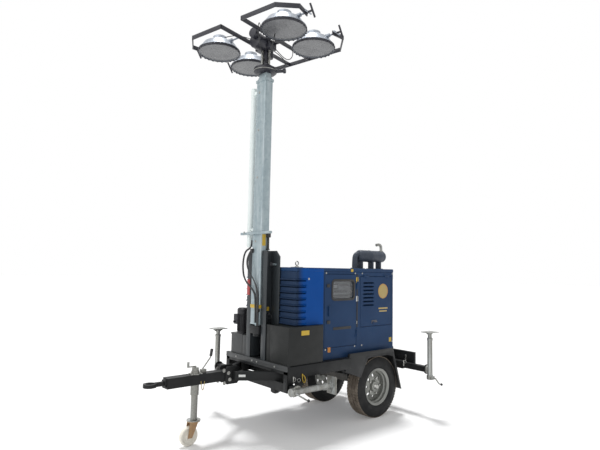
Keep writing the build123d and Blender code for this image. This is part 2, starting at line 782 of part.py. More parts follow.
def make_mast():
    """Outer section on its tilt pin, the nested sections and their foot block."""
    outer = hollow_section(mast_width, mast_depth, mast_wall, mast_bottom, mast_top)
    rear_x = mast_x + mast_depth / 2
    reach = post_inner_y - 4
    sleeve = rod((pivot_x, -reach, pivot_z), (pivot_x, reach, pivot_z), pivot_sleeve)
    pin_end = post_outer_y - 30
    pin = rod((pivot_x, -pin_end, pivot_z), (pivot_x, pin_end, pivot_z), pivot_radius)
    ear = plate_xz([(rear_x - 4, pivot_z - 70), (rear_x, pivot_z - 70), (pivot_x + 8, pivot_z - 12),
                    (pivot_x + 8, pivot_z + 12), (rear_x, pivot_z + 70), (rear_x - 4, pivot_z + 70)], -60, -44)
    foot = box(mast_x - mast_depth / 2, rear_x, -mast_width / 2, mast_width / 2, mast_bottom - 12, mast_bottom)
    cylinder = rod((mast_x, 0, mast_bottom - 100), (mast_x, 0, mast_bottom - 12), 40)
    guide = box(mast_front_x - 30, mast_front_x, -guide_half_y, guide_half_y, guide_z - 12, guide_z + 12)
    collar = box(mast_x - mast_depth / 2 - 6, rear_x + 6, -mast_width / 2 - 6, mast_width / 2 + 6,
                 mast_top - 30, mast_top - 0.5)
    collar = collar - box(mast_x - mast_depth / 2 + 2, rear_x - 2, -mast_width / 2 + 2, mast_width / 2 - 2,
                          mast_top - 40, mast_top + 1)
    nodes["mast_outer"] = fused([outer, sleeve, pin, ear, mirror_y(ear), foot, cylinder, guide, collar])
    clearance = section_gap
    width, depth = mast_width, mast_depth
    wall = mast_wall
    for step in range(section_count):
        width = width - 2 * (wall + clearance)
        depth = depth - 2 * (wall + clearance)
        wall = section_wall
        top = mast_top + section_show * (step + 1)
        section = hollow_section(width, depth, wall, mast_bottom + 20 * (step + 1), top)
        nodes[f"mast_section_{step + 2}"] = section
    # The top section closes under the turntable.
    cap = box(mast_x - depth / 2, mast_x + depth / 2, -width / 2, width / 2, top, turntable_z - running_gap)
    nodes[f"mast_section_{section_count + 1}"] = nodes[f"mast_section_{section_count + 1}"] + cap


make_mast()


def make_cable_tube():
    """Tube beside the mast that guides the lamp cable, on two brackets."""
    z0, z1 = cable_tube_bottom, mast_top - 60
    x, y = mast_x - 20, cable_tube_y
    pipe = tube((x, y, z0), (x, y, z1), cable_tube_radius, cable_tube_radius - 4)
    for z in (guide_z + 40, z1 - 60):
        arm = box(x - 14, x + 14, mast_width / 2, y - cable_tube_radius + 2, z - 14, z + 14)
        pipe = pipe + arm
    return pipe


nodes["cable_tube"] = make_cable_tube()


# Lamp head

def head_place(x, y, z):
    """Moves a lamp head's own place to the trailer's frame, on the mast's axis."""
    return Pos(mast_x, 0, 0) * Rot(0, 0, head_turn) * Pos(x, y, z)


def make_head():
    """Turntable, hub and the two turned-out bars that carry the lamps."""
    disc = rod((0, 0, turntable_z), (0, 0, turntable_z + turntable_thick), turntable_radius)
    disc = chamfer(disc.edges().group_by(Axis.Z)[0], 24)
    neck = rod((0, 0, turntable_z + turntable_thick), (0, 0, head_plane_z), neck_radius)
    hub = rod((-70, 0, head_plane_z), (70, 0, head_plane_z), hub_ball_radius)
    hub = fillet(hub.edges(), 22)
    pieces = [disc, neck, hub]
    z0, z1 = head_plane_z - frame_bar / 2, head_plane_z + frame_bar / 2
    t = frame_bar_thick / 2
    for side in (-1, 1):
        y = side * frame_bar_y
        pieces.append(box(-frame_half_x, frame_half_x, y - t, y + t, z0, z1))
        for end in (-1, 1):
            x = end * frame_half_x
            cross_y = sorted((y - side * t, side * frame_end_y))
            pieces.append(box(x - t, x + t, cross_y[0], cross_y[1], z0, z1))
            pin_x = end * lamp_x
            start = Vector(x, side * frame_end_y, head_plane_z)
            finish = Vector(pin_x, side * lamp_pin_y, head_plane_z)
            run = finish - start
            arm = Plane(origin=start - run.normalized() * t, z_dir=run) * Rectangle(frame_bar, frame_bar)
            pieces.append(extrude(arm, run.length + t * 3) & box(-900, 900, -900, 900, z0, z1)
                          & thick_band(start, run, t))
    for x in (-60, 60):
        pieces.append(box(x - 6, x + 6, -frame_bar_y, frame_bar_y, z0, z1))
    head = fused(pieces)
    # Bores for the lamps' trunnion pins.
    for end in (-1, 1):
        head = head - rod((end * lamp_x, -900, head_plane_z), (end * lamp_x, 900, head_plane_z),
                          lamp_pin_radius + pin_fit)
    return head_place(0, 0, 0) * head


def thick_band(start, run, half):
    """A long upright slab of the bar's thickness, centred on an arm's line."""
    along = run.normalized()
    across = Vector(-along.Y, along.X, 0)
    centre = start + run * 0.5
    place = Plane(origin=centre, x_dir=along, z_dir=(0, 0, 1))
    return place * Box(run.length + 40, half * 2, 80)


nodes["lamp_frame"] = make_head()


def make_lamp(end, side):
    """A floodlight: spun dome with a cap, bezel ring, flat glass and two trunnion pins."""
    glass_z = -lamp_drop
    rim_z = glass_z + bezel_height
    outline = [(0, rim_z + dome_height), (dome_cap_radius, rim_z + dome_height),
               (dome_cap_radius, rim_z + dome_height - 34), (dome_cap_radius + 34, rim_z + dome_height - 46),
               (170, rim_z + 66), (lamp_radius - 16, rim_z + 12), (lamp_radius, rim_z),
               (lamp_radius, glass_z), (lamp_radius - 12, glass_z), (lamp_radius - 12, glass_z + lamp_glass + 6),
               (0, glass_z + lamp_glass + 6)]
    dome = turned(outline)
    s = lamp_shell
    hollow = [(0, rim_z + dome_height - s), (dome_cap_radius - s, rim_z + dome_height - s),
              (dome_cap_radius - s, rim_z + dome_height - 34 - s), (dome_cap_radius + 30, rim_z + dome_height - 46 - s),
              (166, rim_z + 66 - s), (lamp_radius - 24, rim_z + 8), (lamp_radius - 24, glass_z + lamp_glass + 5),
              (0, glass_z + lamp_glass + 5)]
    dome = dome - turned(hollow)
    inner = frame_bar_y - frame_bar_thick / 2 - 6
    outer = lamp_pin_y + frame_bar_thick / 2 + 30
    pin_in = rod((0, -side * (lamp_y - inner), 0), (0, -side * 150, 0), lamp_pin_radius)
    pin_out = rod((0, side * 150, 0), (0, side * (outer - lamp_y), 0), lamp_pin_radius)
    handle = rod((-50, side * (outer - lamp_y - 4), 0), (50, side * (outer - lamp_y - 4), 0), 8)
    boss_in = rod((0, -side * 190, 0), (0, -side * 120, 0), 20)
    boss_out = rod((0, side * 120, 0), (0, side * 200, 0), 20)
    lamp = fused([dome, pin_in, pin_out, handle, boss_in, boss_out])
    glass = rod((0, 0, glass_z + 5.7), (0, 0, glass_z + 5.7 + lamp_glass), lamp_radius - 12.3)
    place = head_place(end * lamp_x, side * lamp_y, head_plane_z)
    return place * lamp, place * glass


lamp_table = (("front_left", -1, -1), ("front_right", -1, 1), ("rear_left", 1, -1), ("rear_right", 1, 1))
for name, end, side in lamp_table:
    nodes["lamp_" + name], nodes["lamp_glass_" + name] = make_lamp(end, side)


# Stabilisers

def make_stabiliser(name, x, beam_z, y, side, turn, inner_y):
    """Outrigger beam, swivelling screw jack and its leg with the foot; turn 0 points the foot up."""
    half = beam_size / 2
    plate_y = y - jack_tube_radius - swivel_gap - swivel_plate
    beam = box(x - half, x + half, inner_y, plate_y, beam_z - half, beam_z + half)
    beam = beam - box(x - half + 5, x + half - 5, inner_y - 1, plate_y - 20, beam_z - half + 5, beam_z + half - 5)
    plate = rod((x, plate_y, beam_z), (x, plate_y + swivel_plate, beam_z), 52)
    beam_part = fused([beam, plate])
    leg_end = jack_out + jack_leg_show
    body = tube((0, 0, -jack_back), (0, 0, jack_out), jack_tube_radius, jack_leg_radius + jack_gap)
    gear = rod((0, 0, -jack_back - 45), (0, 0, -jack_back + 6), 36)
    gear = gear + box(-34, 34, 0, 44, -jack_back - 44, -jack_back - 4)
    disc = rod((0, -jack_tube_radius - 5, 0), (0, -jack_tube_radius + 14, 0), 46) - rod(
        (0, 0, -80), (0, 0, 80), jack_leg_radius + jack_gap)
    crank_z = -jack_back - 24
    shaft = rod((0, 30, crank_z), (0, 74, crank_z), crank_radius)
    knob_x = crank_reach * 0.75 * (1 if turn else -1)
    knob_at = (knob_x, 70, crank_z - crank_reach * 0.35)
    web = rod((0, 70, crank_z), knob_at, crank_radius)
    knob = rod(knob_at, (knob_at[0], 124, knob_at[2]), knob_radius)
    jack = fused([body, gear, disc, shaft, web, knob])
    leg = rod((0, 0, -jack_back + 12), (0, 0, leg_end), jack_leg_radius)
    foot = rod((0, 0, leg_end), (0, 0, leg_end + jack_foot_thick), jack_foot_radius)
    collar = rod((0, 0, leg_end - 16), (0, 0, leg_end), jack_leg_radius + 5)
    leg_part = fused([leg, foot, collar])
    place = Pos(x, y, beam_z) * Rot(0, turn, 0)
    parts = {"outrigger_": beam_part, "jack_": place * jack, "jack_foot_": place * leg_part}
    for prefix, solid in parts.items():
        nodes[prefix + name] = solid if side > 0 else mirror_y(solid)


# name, station, beam height, jack's distance from the middle, side, turn of the jack from upright
stabiliser_table = (
    ("front_left", front_member_x, front_jack_z, jack_in_y, -1, 90.0),
    ("front_right", front_member_x, front_jack_z, front_right_y, 1, 0.0),
    ("rear_left", rear_member_x, rear_jack_z, rear_jack_y, -1, 0.0),
    ("rear_right", rear_member_x, rear_jack_z, rear_jack_y, 1, 0.0),
)
for name, x, z, y, side, turn in stabiliser_table:
    make_stabiliser(name, x, z, y, side, turn, beam_inner_y + y - jack_in_y)


# The finished model, centred over the origin

front_end_x = eye_x - eye_bore - eye_ring
everything = [solid.bounding_box() for solid in nodes.values()]
rear_end_x = max(item.max.X for item in everything)
shift_x = -(min(item.min.X for item in everything) + rear_end_x) / 2

for name, solid in nodes.items():
    export_step(Pos(shift_x, 0, 0) * solid, f"parts/{name}.step")
print("shift_x", round(shift_x, 3), "nodes", len(nodes))
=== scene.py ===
import json
import math

import bpy
from mathutils import Matrix, Vector


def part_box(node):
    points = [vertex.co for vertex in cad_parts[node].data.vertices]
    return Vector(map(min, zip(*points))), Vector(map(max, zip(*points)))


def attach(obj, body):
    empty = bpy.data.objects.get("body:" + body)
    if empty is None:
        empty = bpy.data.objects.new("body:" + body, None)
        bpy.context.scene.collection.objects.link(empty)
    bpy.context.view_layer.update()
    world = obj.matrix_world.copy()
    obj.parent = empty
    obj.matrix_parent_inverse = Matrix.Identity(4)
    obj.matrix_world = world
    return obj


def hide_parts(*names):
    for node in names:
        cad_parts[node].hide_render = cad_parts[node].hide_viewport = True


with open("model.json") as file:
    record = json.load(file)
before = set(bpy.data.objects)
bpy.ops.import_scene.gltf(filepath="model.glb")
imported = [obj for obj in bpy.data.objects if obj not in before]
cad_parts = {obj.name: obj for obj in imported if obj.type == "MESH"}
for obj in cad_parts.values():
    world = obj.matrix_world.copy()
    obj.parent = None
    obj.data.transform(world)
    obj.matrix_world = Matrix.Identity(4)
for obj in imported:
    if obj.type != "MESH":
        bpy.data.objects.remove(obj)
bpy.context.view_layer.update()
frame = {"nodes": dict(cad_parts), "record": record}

# A mobile light tower on a single-axle trailer. The towing eye is towards -X, the side with the
# control door towards -Y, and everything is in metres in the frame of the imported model.

print("frame loaded:", len(frame["nodes"]), "nodes")


# Tools for modelling

def leaveEditMode():
    if bpy.context.object and bpy.context.object.mode != "OBJECT":
        bpy.ops.object.mode_set(mode="OBJECT")
    bpy.ops.object.select_all(action="DESELECT")


def choose(piece):
    leaveEditMode()
    piece.select_set(True)
    bpy.context.view_layer.objects.active = piece


def settle(piece):
    choose(piece)
    bpy.ops.object.transform_apply(location=True, rotation=True, scale=True)
    return piece


def roundEdges(piece, offset, segments=2, sharpness=50):
    choose(piece)
    bpy.ops.object.mode_set(mode="EDIT")
    bpy.ops.mesh.select_mode(type="EDGE")
    bpy.ops.mesh.select_all(action="DESELECT")
    bpy.ops.mesh.edges_select_sharp(sharpness=math.radians(sharpness))
    bpy.ops.mesh.bevel(offset=offset, segments=segments, affect="EDGES", clamp_overlap=True)
    bpy.ops.object.mode_set(mode="OBJECT")
    return piece


def aim(piece, origin, direction):
    # A piece drawn upright at the world's origin is turned to its direction and set in its place.
    turn = Vector((0, 0, 1)).rotation_difference(Vector(direction).normalized())
    piece.data.transform(Matrix.Translation(Vector(origin)) @ turn.to_matrix().to_4x4())
    piece.data.update()
    return piece


def block(low, high, bevel=0.002, segments=2):
    leaveEditMode()
    low, high = Vector(low), Vector(high)
    bpy.ops.mesh.primitive_cube_add(size=1, location=(low + high) / 2)
    piece = bpy.context.object
    piece.scale = high - low
    settle(piece)
    return roundEdges(piece, bevel, segments) if bevel else piece


def drum(start, end, radius, sides=32, bevel=0.0015):
    # A round bar from start to end.
    start, run = Vector(start), Vector(end) - Vector(start)
    leaveEditMode()
    bpy.ops.mesh.primitive_cylinder_add(vertices=sides, radius=radius, depth=run.length,
                                        location=(0, 0, run.length / 2))
    piece = settle(bpy.context.object)
    if bevel:
        roundEdges(piece, bevel)
    return aim(piece, start, run)


def drawLine(points):
    # A chain of edges, drawn by extruding one vertex from point to point.
    leaveEditMode()
    bpy.ops.mesh.primitive_plane_add(size=0.01, location=points[0])
    bpy.ops.object.mode_set(mode="EDIT")
    bpy.ops.mesh.select_mode(type="VERT")
    bpy.ops.mesh.select_all(action="SELECT")
    bpy.ops.mesh.merge(type="CENTER")
    for before, after in zip(points, points[1:]):
        step = Vector(after) - Vector(before)
        bpy.ops.mesh.extrude_region_move(TRANSFORM_OT_translate={"value": step})
    return bpy.context.object


def closeUp(piece):
    # Doubled points are merged, and the faces turned outward again.
    bpy.ops.mesh.select_all(action="SELECT")
    bpy.ops.mesh.remove_doubles(threshold=0.00002)
    bpy.ops.mesh.select_all(action="SELECT")
    bpy.ops.mesh.normals_make_consistent(inside=False)
    bpy.ops.object.mode_set(mode="OBJECT")
    return settle(piece)


def lathe(outline, origin=(0, 0, 0), direction=(0, 0, 1), steps=48):
    # outline is a list of radius and height; the shape turns round its own upright axis
    piece = drawLine([(radius, 0, height) for radius, height in outline])
    bpy.ops.mesh.select_all(action="SELECT")
    bpy.ops.mesh.spin(steps=steps, angle=math.tau, center=(0, 0, 0), axis=(0, 0, 1))
    return aim(closeUp(piece), origin, direction)


def plate(points, run):
    # A flat sheet with this outline, pulled along run for its thickness.
    piece = drawLine(points)
    bpy.ops.mesh.select_all(action="SELECT")
    bpy.ops.mesh.edge_face_add()
    bpy.ops.mesh.extrude_region_move(TRANSFORM_OT_translate={"value": run})
    return closeUp(piece)


def curveThrough(points, radius, sides, smooth):
    # A curve with a round section that follows a smooth line.
    leaveEditMode()
    bpy.ops.curve.primitive_nurbs_path_add(location=(0, 0, 0))
    curve = bpy.context.object
    data = curve.data
    data.splines.remove(data.splines[0])
    spline = data.splines.new("NURBS")
    spline.points.add(len(points) - 1)
    for point, spot in zip(spline.points, points):
        point.co = (*spot, 1)
    spline.order_u = 3
    spline.use_endpoint_u = True
    spline.resolution_u = smooth
    data.bevel_depth = radius
    data.bevel_resolution = sides
    data.use_fill_caps = True
    return curve


def wire(points, radius, sides=3, smooth=6):
    # A round rod or cable along a smooth line, as a mesh.
    choose(curveThrough(points, radius, sides, smooth))
    bpy.ops.object.convert(target="MESH")
    bpy.ops.object.mode_set(mode="EDIT")
    return closeUp(bpy.context.object)


def copyOf(piece, matrix):
    twin = piece.copy()
    twin.data = piece.data.copy()
    twin.data.transform(matrix)
    if matrix.determinant() < 0:
        twin.data.flip_normals()
    bpy.context.scene.collection.objects.link(twin)
    return twin


def joined(parts):
    leaveEditMode()
    for part in parts:
        part.select_set(True)
    bpy.context.view_layer.objects.active = parts[0]
    if len(parts) > 1:
        bpy.ops.object.join()
    return bpy.context.object


def finishPiece(parts, name, finish, body, angle=40):
    piece = joined(parts if isinstance(parts, list) else [parts])
    piece.name = name
    piece.data.name = name
    bpy.ops.object.shade_smooth_by_angle(angle=math.radians(angle))
    piece.data.materials.clear()
    piece.data.materials.append(finishes[finish])
    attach(piece, body)
    return piece


def middle(node):
    low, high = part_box(node)
    return (low + high) / 2


def jointPlace(name):
    return next(joint for joint in frame["record"]["behaviour"]["joints"] if joint["name"] == name)["pos_m"]


def outward(side):
    # The direction that the left or right wheel faces.
    return (0, -1 if side == "left" else 1, 0)


# Camera, lights and floor

cameraLook = {"place": (-3.232, -4.033, 1.598), "heading": 49.68, "rise": 5.07, "roll": 1.117, "lens": 29.08}
studio = {"keyPower": 2.3, "keyTurn": (14, 4, 140), "keySoft": 12, "fillPower": 1.15,
          "fillTurn": (64, 0, -82), "fillSoft": 70, "worldPower": 0.39, "floorSize": 120, "floorShade": 0.88,
          "floorGlow": 0.12}


def makeCamera(look):
    leaveEditMode()
    bpy.ops.object.camera_add(location=look["place"])
    camera = bpy.context.object
    heading, rise = math.radians(look["heading"]), math.radians(look["rise"])
    ahead = Vector((math.cos(rise) * math.cos(heading), math.cos(rise) * math.sin(heading), math.sin(rise)))
    level = ahead.to_track_quat("-Z", "Y").to_matrix().to_4x4()
    camera.matrix_world = (Matrix.Translation(Vector(look["place"])) @ level
                           @ Matrix.Rotation(math.radians(look["roll"]), 4, "Z"))
    camera.data.sensor_width = 36
    camera.data.lens = look["lens"]
    camera.data.clip_end = 200
    bpy.context.scene.camera = camera


def seenDirectly(tree):
    # 1 for what the camera, a mirror or a glass shows, 0 for light that falls on the object.
    path = tree.nodes.new("ShaderNodeLightPath")
    first = tree.nodes.new("ShaderNodeMath")
    first.operation = "MAXIMUM"
    tree.links.new(path.outputs["Is Camera Ray"], first.inputs[0])
    tree.links.new(path.outputs["Is Transmission Ray"], first.inputs[1])
    second = tree.nodes.new("ShaderNodeMath")
    second.operation = "MAXIMUM"
    tree.links.new(first.outputs[0], second.inputs[0])
    tree.links.new(path.outputs["Is Glossy Ray"], second.inputs[1])
    return second.outputs[0]


def makeStudio(look):
    for name, power, turn, soft in (("key", look["keyPower"], look["keyTurn"], look["keySoft"]),
                                    ("fill", look["fillPower"], look["fillTurn"], look["fillSoft"])):
        leaveEditMode()
        bpy.ops.object.light_add(type="SUN", location=(0, 0, 6))
        lamp = bpy.context.object
        lamp.name = name + "Light"
        lamp.data.energy = power
        lamp.data.angle = math.radians(soft)
        lamp.rotation_euler = [math.radians(value) for value in turn]
    world = bpy.data.worlds.new("studioWorld")
    bpy.context.scene.world = world
    world.use_nodes = True
    tree = world.node_tree
    sky = tree.nodes["Background"]
    sky.inputs["Strength"].default_value = look["worldPower"]
    sky.inputs["Color"].default_value = (1, 1, 1, 1)
    plain = tree.nodes.new("ShaderNodeBackground")
    plain.inputs["Color"].default_value = (1, 1, 1, 1)
    plain.inputs["Strength"].default_value = 1
    mix = tree.nodes.new("ShaderNodeMixShader")
    tree.links.new(seenDirectly(tree), mix.inputs[0])
    tree.links.new(sky.outputs[0], mix.inputs[1])
    tree.links.new(plain.outputs[0], mix.inputs[2])
    tree.links.new(mix.outputs[0], tree.nodes["World Output"].inputs[0])
    leaveEditMode()
    bpy.ops.mesh.primitive_plane_add(size=look["floorSize"], location=(0, 0, -0.0005))
    floor = bpy.context.object
    floor.name = "studioFloor"
    material = bpy.data.materials.new("floorWhite")
    material.use_nodes = True
    tree = material.node_tree
    shader = tree.nodes["Principled BSDF"]
    shade = look["floorShade"]
    shader.inputs["Base Color"].default_value = (shade, shade, shade, 1)
    shader.inputs["Roughness"].default_value = 1
    shader.inputs["Specular IOR Level"].default_value = 0
    glow = tree.nodes.new("ShaderNodeEmission")
    scaled = tree.nodes.new("ShaderNodeMath")
    scaled.operation = "MULTIPLY"
    scaled.inputs[1].default_value = look["floorGlow"]
    tree.links.new(seenDirectly(tree), scaled.inputs[0])
    tree.links.new(scaled.outputs[0], glow.inputs["Strength"])
    both = tree.nodes.new("ShaderNodeAddShader")
    tree.links.new(shader.outputs[0], both.inputs[0])
    tree.links.new(glow.outputs[0], both.inputs[1])
    tree.links.new(both.outputs[0], tree.nodes["Material Output"].inputs[0])
    floor.data.materials.append(material)


makeCamera(cameraLook)
makeStudio(studio)
bpy.context.scene.view_settings.view_transform = "Standard"
print("camera, lights and floor made")


# Finishes

def startFinish(name, look):
    material = bpy.data.materials.new(name)
    material.use_nodes = True
    tree = material.node_tree
    shader = tree.nodes["Principled BSDF"]
    shader.inputs["Metallic"].default_value = look.get("metal", 0)
    shader.inputs["Specular IOR Level"].default_value = look.get("gloss", 0.5)
    where = tree.nodes.new("ShaderNodeTexCoord").outputs["Object"]
    return material, tree, shader, where


def noiseOf(tree, where, scale, detail=3, stretch=None):
    if stretch:
        mapping = tree.nodes.new("ShaderNodeMapping")
        mapping.inputs["Scale"].default_value = stretch
        tree.links.new(where, mapping.inputs["Vector"])
        where = mapping.outputs["Vector"]
    noise = tree.nodes.new("ShaderNodeTexNoise")
    noise.inputs["Scale"].default_value = scale
    noise.inputs["Detail"].default_value = detail
    tree.links.new(where, noise.inputs["Vector"])
    return noise.outputs["Fac"]


def rampOf(tree, value, low, high):
    # 0 below low, 1 above high
    ramp = tree.nodes.new("ShaderNodeMapRange")
    ramp.inputs["From Min"].default_value = low
    ramp.inputs["From Max"].default_value = high
    tree.links.new(value, ramp.inputs["Value"])
    return ramp.outputs["Result"]


def product(tree, first, second):
    node = tree.nodes.new("ShaderNodeMath")
    node.operation = "MULTIPLY"
    tree.links.new(first, node.inputs[0])
    if isinstance(second, (int, float)):
        node.inputs[1].default_value = second
    else:
        tree.links.new(second, node.inputs[1])
    return node.outputs[0]


def blended(tree, factor, first, second):
    # first and second are colours, or sockets that carry them
    mix = tree.nodes.new("ShaderNodeMix")
    mix.data_type = "RGBA"
    tree.links.new(factor, mix.inputs["Factor"])
    for socket, value in ((mix.inputs[6], first), (mix.inputs[7], second)):
        if isinstance(value, tuple):
            socket.default_value = (*value, 1)
        else:
            tree.links.new(value, socket)
    return mix.outputs[2]


def setRoughness(tree, shader, value, low, high):
    spread = tree.nodes.new("ShaderNodeMapRange")
    spread.inputs["From Min"].default_value = 0.3
    spread.inputs["From Max"].default_value = 0.7
    spread.inputs["To Min"].default_value = low
    spread.inputs["To Max"].default_value = high
    tree.links.new(value, spread.inputs["Value"])
    tree.links.new(spread.outputs["Result"], shader.inputs["Roughness"])


def setBump(tree, shader, height, strength, distance=0.001):
    bump = tree.nodes.new("ShaderNodeBump")
    bump.inputs["Strength"].default_value = strength
    bump.inputs["Distance"].default_value = distance
    tree.links.new(height, bump.inputs["Height"])
    tree.links.new(bump.outputs["Normal"], shader.inputs["Normal"])


def heightOf(tree, where):
    split = tree.nodes.new("ShaderNodeSeparateXYZ")
    tree.links.new(where, split.inputs[0])
    return split.outputs["Z"]


def makePaint(name, look):
    # Sprayed paint: slow change of tone, orange-peel bump, chips, and road dust low down; where a look asks for
    # it, painted shade also darkens the front, towards -X.
    material, tree, shader, where = startFinish(name, look)
    tone = noiseOf(tree, where, 2.5, 4)
    colour = blended(tree, rampOf(tree, tone, 0.35, 0.65), look["colour"], look["shade"])
    chips = rampOf(tree, noiseOf(tree, where, look.get("chipScale", 42), 6), 0.735, 0.75)
    colour = blended(tree, product(tree, chips, look.get("chips", 0.5)), colour,
                     look.get("bare", (0.3, 0.3, 0.3)))
    # Painted shade: below the given x range the colour goes to the darker painted-shade colour, standing in for
    # the shade that falls on the front face.
    if look.get("darkUntil"):
        split = tree.nodes.new("ShaderNodeSeparateXYZ")
        tree.links.new(where, split.inputs[0])
        colour = blended(tree, rampOf(tree, split.outputs["X"], *look["darkUntil"]), look["frontColour"],
                         colour)
    low = rampOf(tree, heightOf(tree, where), look.get("dustTop", 0.95), 0.15)
    dust = product(tree, low, rampOf(tree, noiseOf(tree, where, 9, 6), 0.35, 0.75))
    colour = blended(tree, product(tree, dust, look.get("dust", 0.35)), colour, (0.3, 0.27, 0.23))
    tree.links.new(colour, shader.inputs["Base Color"])
    setRoughness(tree, shader, noiseOf(tree, where, 14, 5), look["rough"] - 0.07, look["rough"] + 0.1)
    setBump(tree, shader, noiseOf(tree, where, 420, 2), look.get("peel", 0.06), 0.0006)
    if look.get("coat"):
        shader.inputs["Coat Weight"].default_value = look["coat"]
        shader.inputs["Coat Roughness"].default_value = 0.12
    return material


def makeZinc(name, look):
    # Dipped zinc: flat crystals of slightly different grey, dull runs and a little white bloom.
    material, tree, shader, where = startFinish(name, look)
    crystals = tree.nodes.new("ShaderNodeTexVoronoi")
    crystals.inputs["Scale"].default_value = look.get("crystals", 55)
    tree.links.new(where, crystals.inputs["Vector"])
    grey = tree.nodes.new("ShaderNodeRGBToBW")
    tree.links.new(crystals.outputs["Color"], grey.inputs[0])
    colour = blended(tree, grey.outputs[0], look["colour"], look["shade"])
    runs = rampOf(tree, noiseOf(tree, where, 7, 5, (3, 3, 0.35)), 0.45, 0.75)
    colour = blended(tree, product(tree, runs, look.get("bloom", 0.45)), colour,
                     look.get("dull", (0.62, 0.66, 0.68)))
    tree.links.new(colour, shader.inputs["Base Color"])
    setRoughness(tree, shader, noiseOf(tree, where, 20, 4), look["rough"] - 0.08, look["rough"] + 0.12)
    setBump(tree, shader, noiseOf(tree, where, 130, 3), 0.08, 0.0006)
    return material


def makeSpun(name, look):
    # Spun or pressed bright metal with fine turning marks.
    material, tree, shader, where = startFinish(name, look)
    fine = noiseOf(tree, where, 60, 5, (1, 1, 9))
    colour = blended(tree, rampOf(tree, noiseOf(tree, where, 6, 4), 0.35, 0.65), look["colour"],
                     look["shade"])
    tree.links.new(colour, shader.inputs["Base Color"])
    setRoughness(tree, shader, fine, look["rough"] - 0.06, look["rough"] + 0.1)
    setBump(tree, shader, fine, 0.07, 0.0005)
    return material


def makeRubber(name, look):
    material, tree, shader, where = startFinish(name, look)
    colour = blended(tree, rampOf(tree, noiseOf(tree, where, 11, 6), 0.4, 0.62), look["colour"],
                     look["shade"])
    tree.links.new(colour, shader.inputs["Base Color"])
    setRoughness(tree, shader, noiseOf(tree, where, 30, 4), look["rough"] - 0.08, look["rough"] + 0.08)
    setBump(tree, shader, noiseOf(tree, where, 350, 3), 0.15, 0.0006)
    return material


def makeGlass(name, look):
    material, tree, shader, where = startFinish(name, look)
    shader.inputs["Transmission Weight"].default_value = look["clear"]
    shader.inputs["IOR"].default_value = 1.48
    colour = blended(tree, rampOf(tree, noiseOf(tree, where, 8, 4), 0.4, 0.65), look["colour"], look["shade"])
    tree.links.new(colour, shader.inputs["Base Color"])
    setRoughness(tree, shader, noiseOf(tree, where, 15, 4), look["rough"], look["rough"] + 0.08)
    pattern = tree.nodes.new("ShaderNodeTexVoronoi")
    pattern.inputs["Scale"].default_value = look["pattern"]
    tree.links.new(where, pattern.inputs["Vector"])
    setBump(tree, shader, pattern.outputs["Distance"], look["relief"], 0.001)
    return material


def tones(colour, shade, rough, **more):
    return {"colour": colour, "shade": shade, "rough": rough, **more}


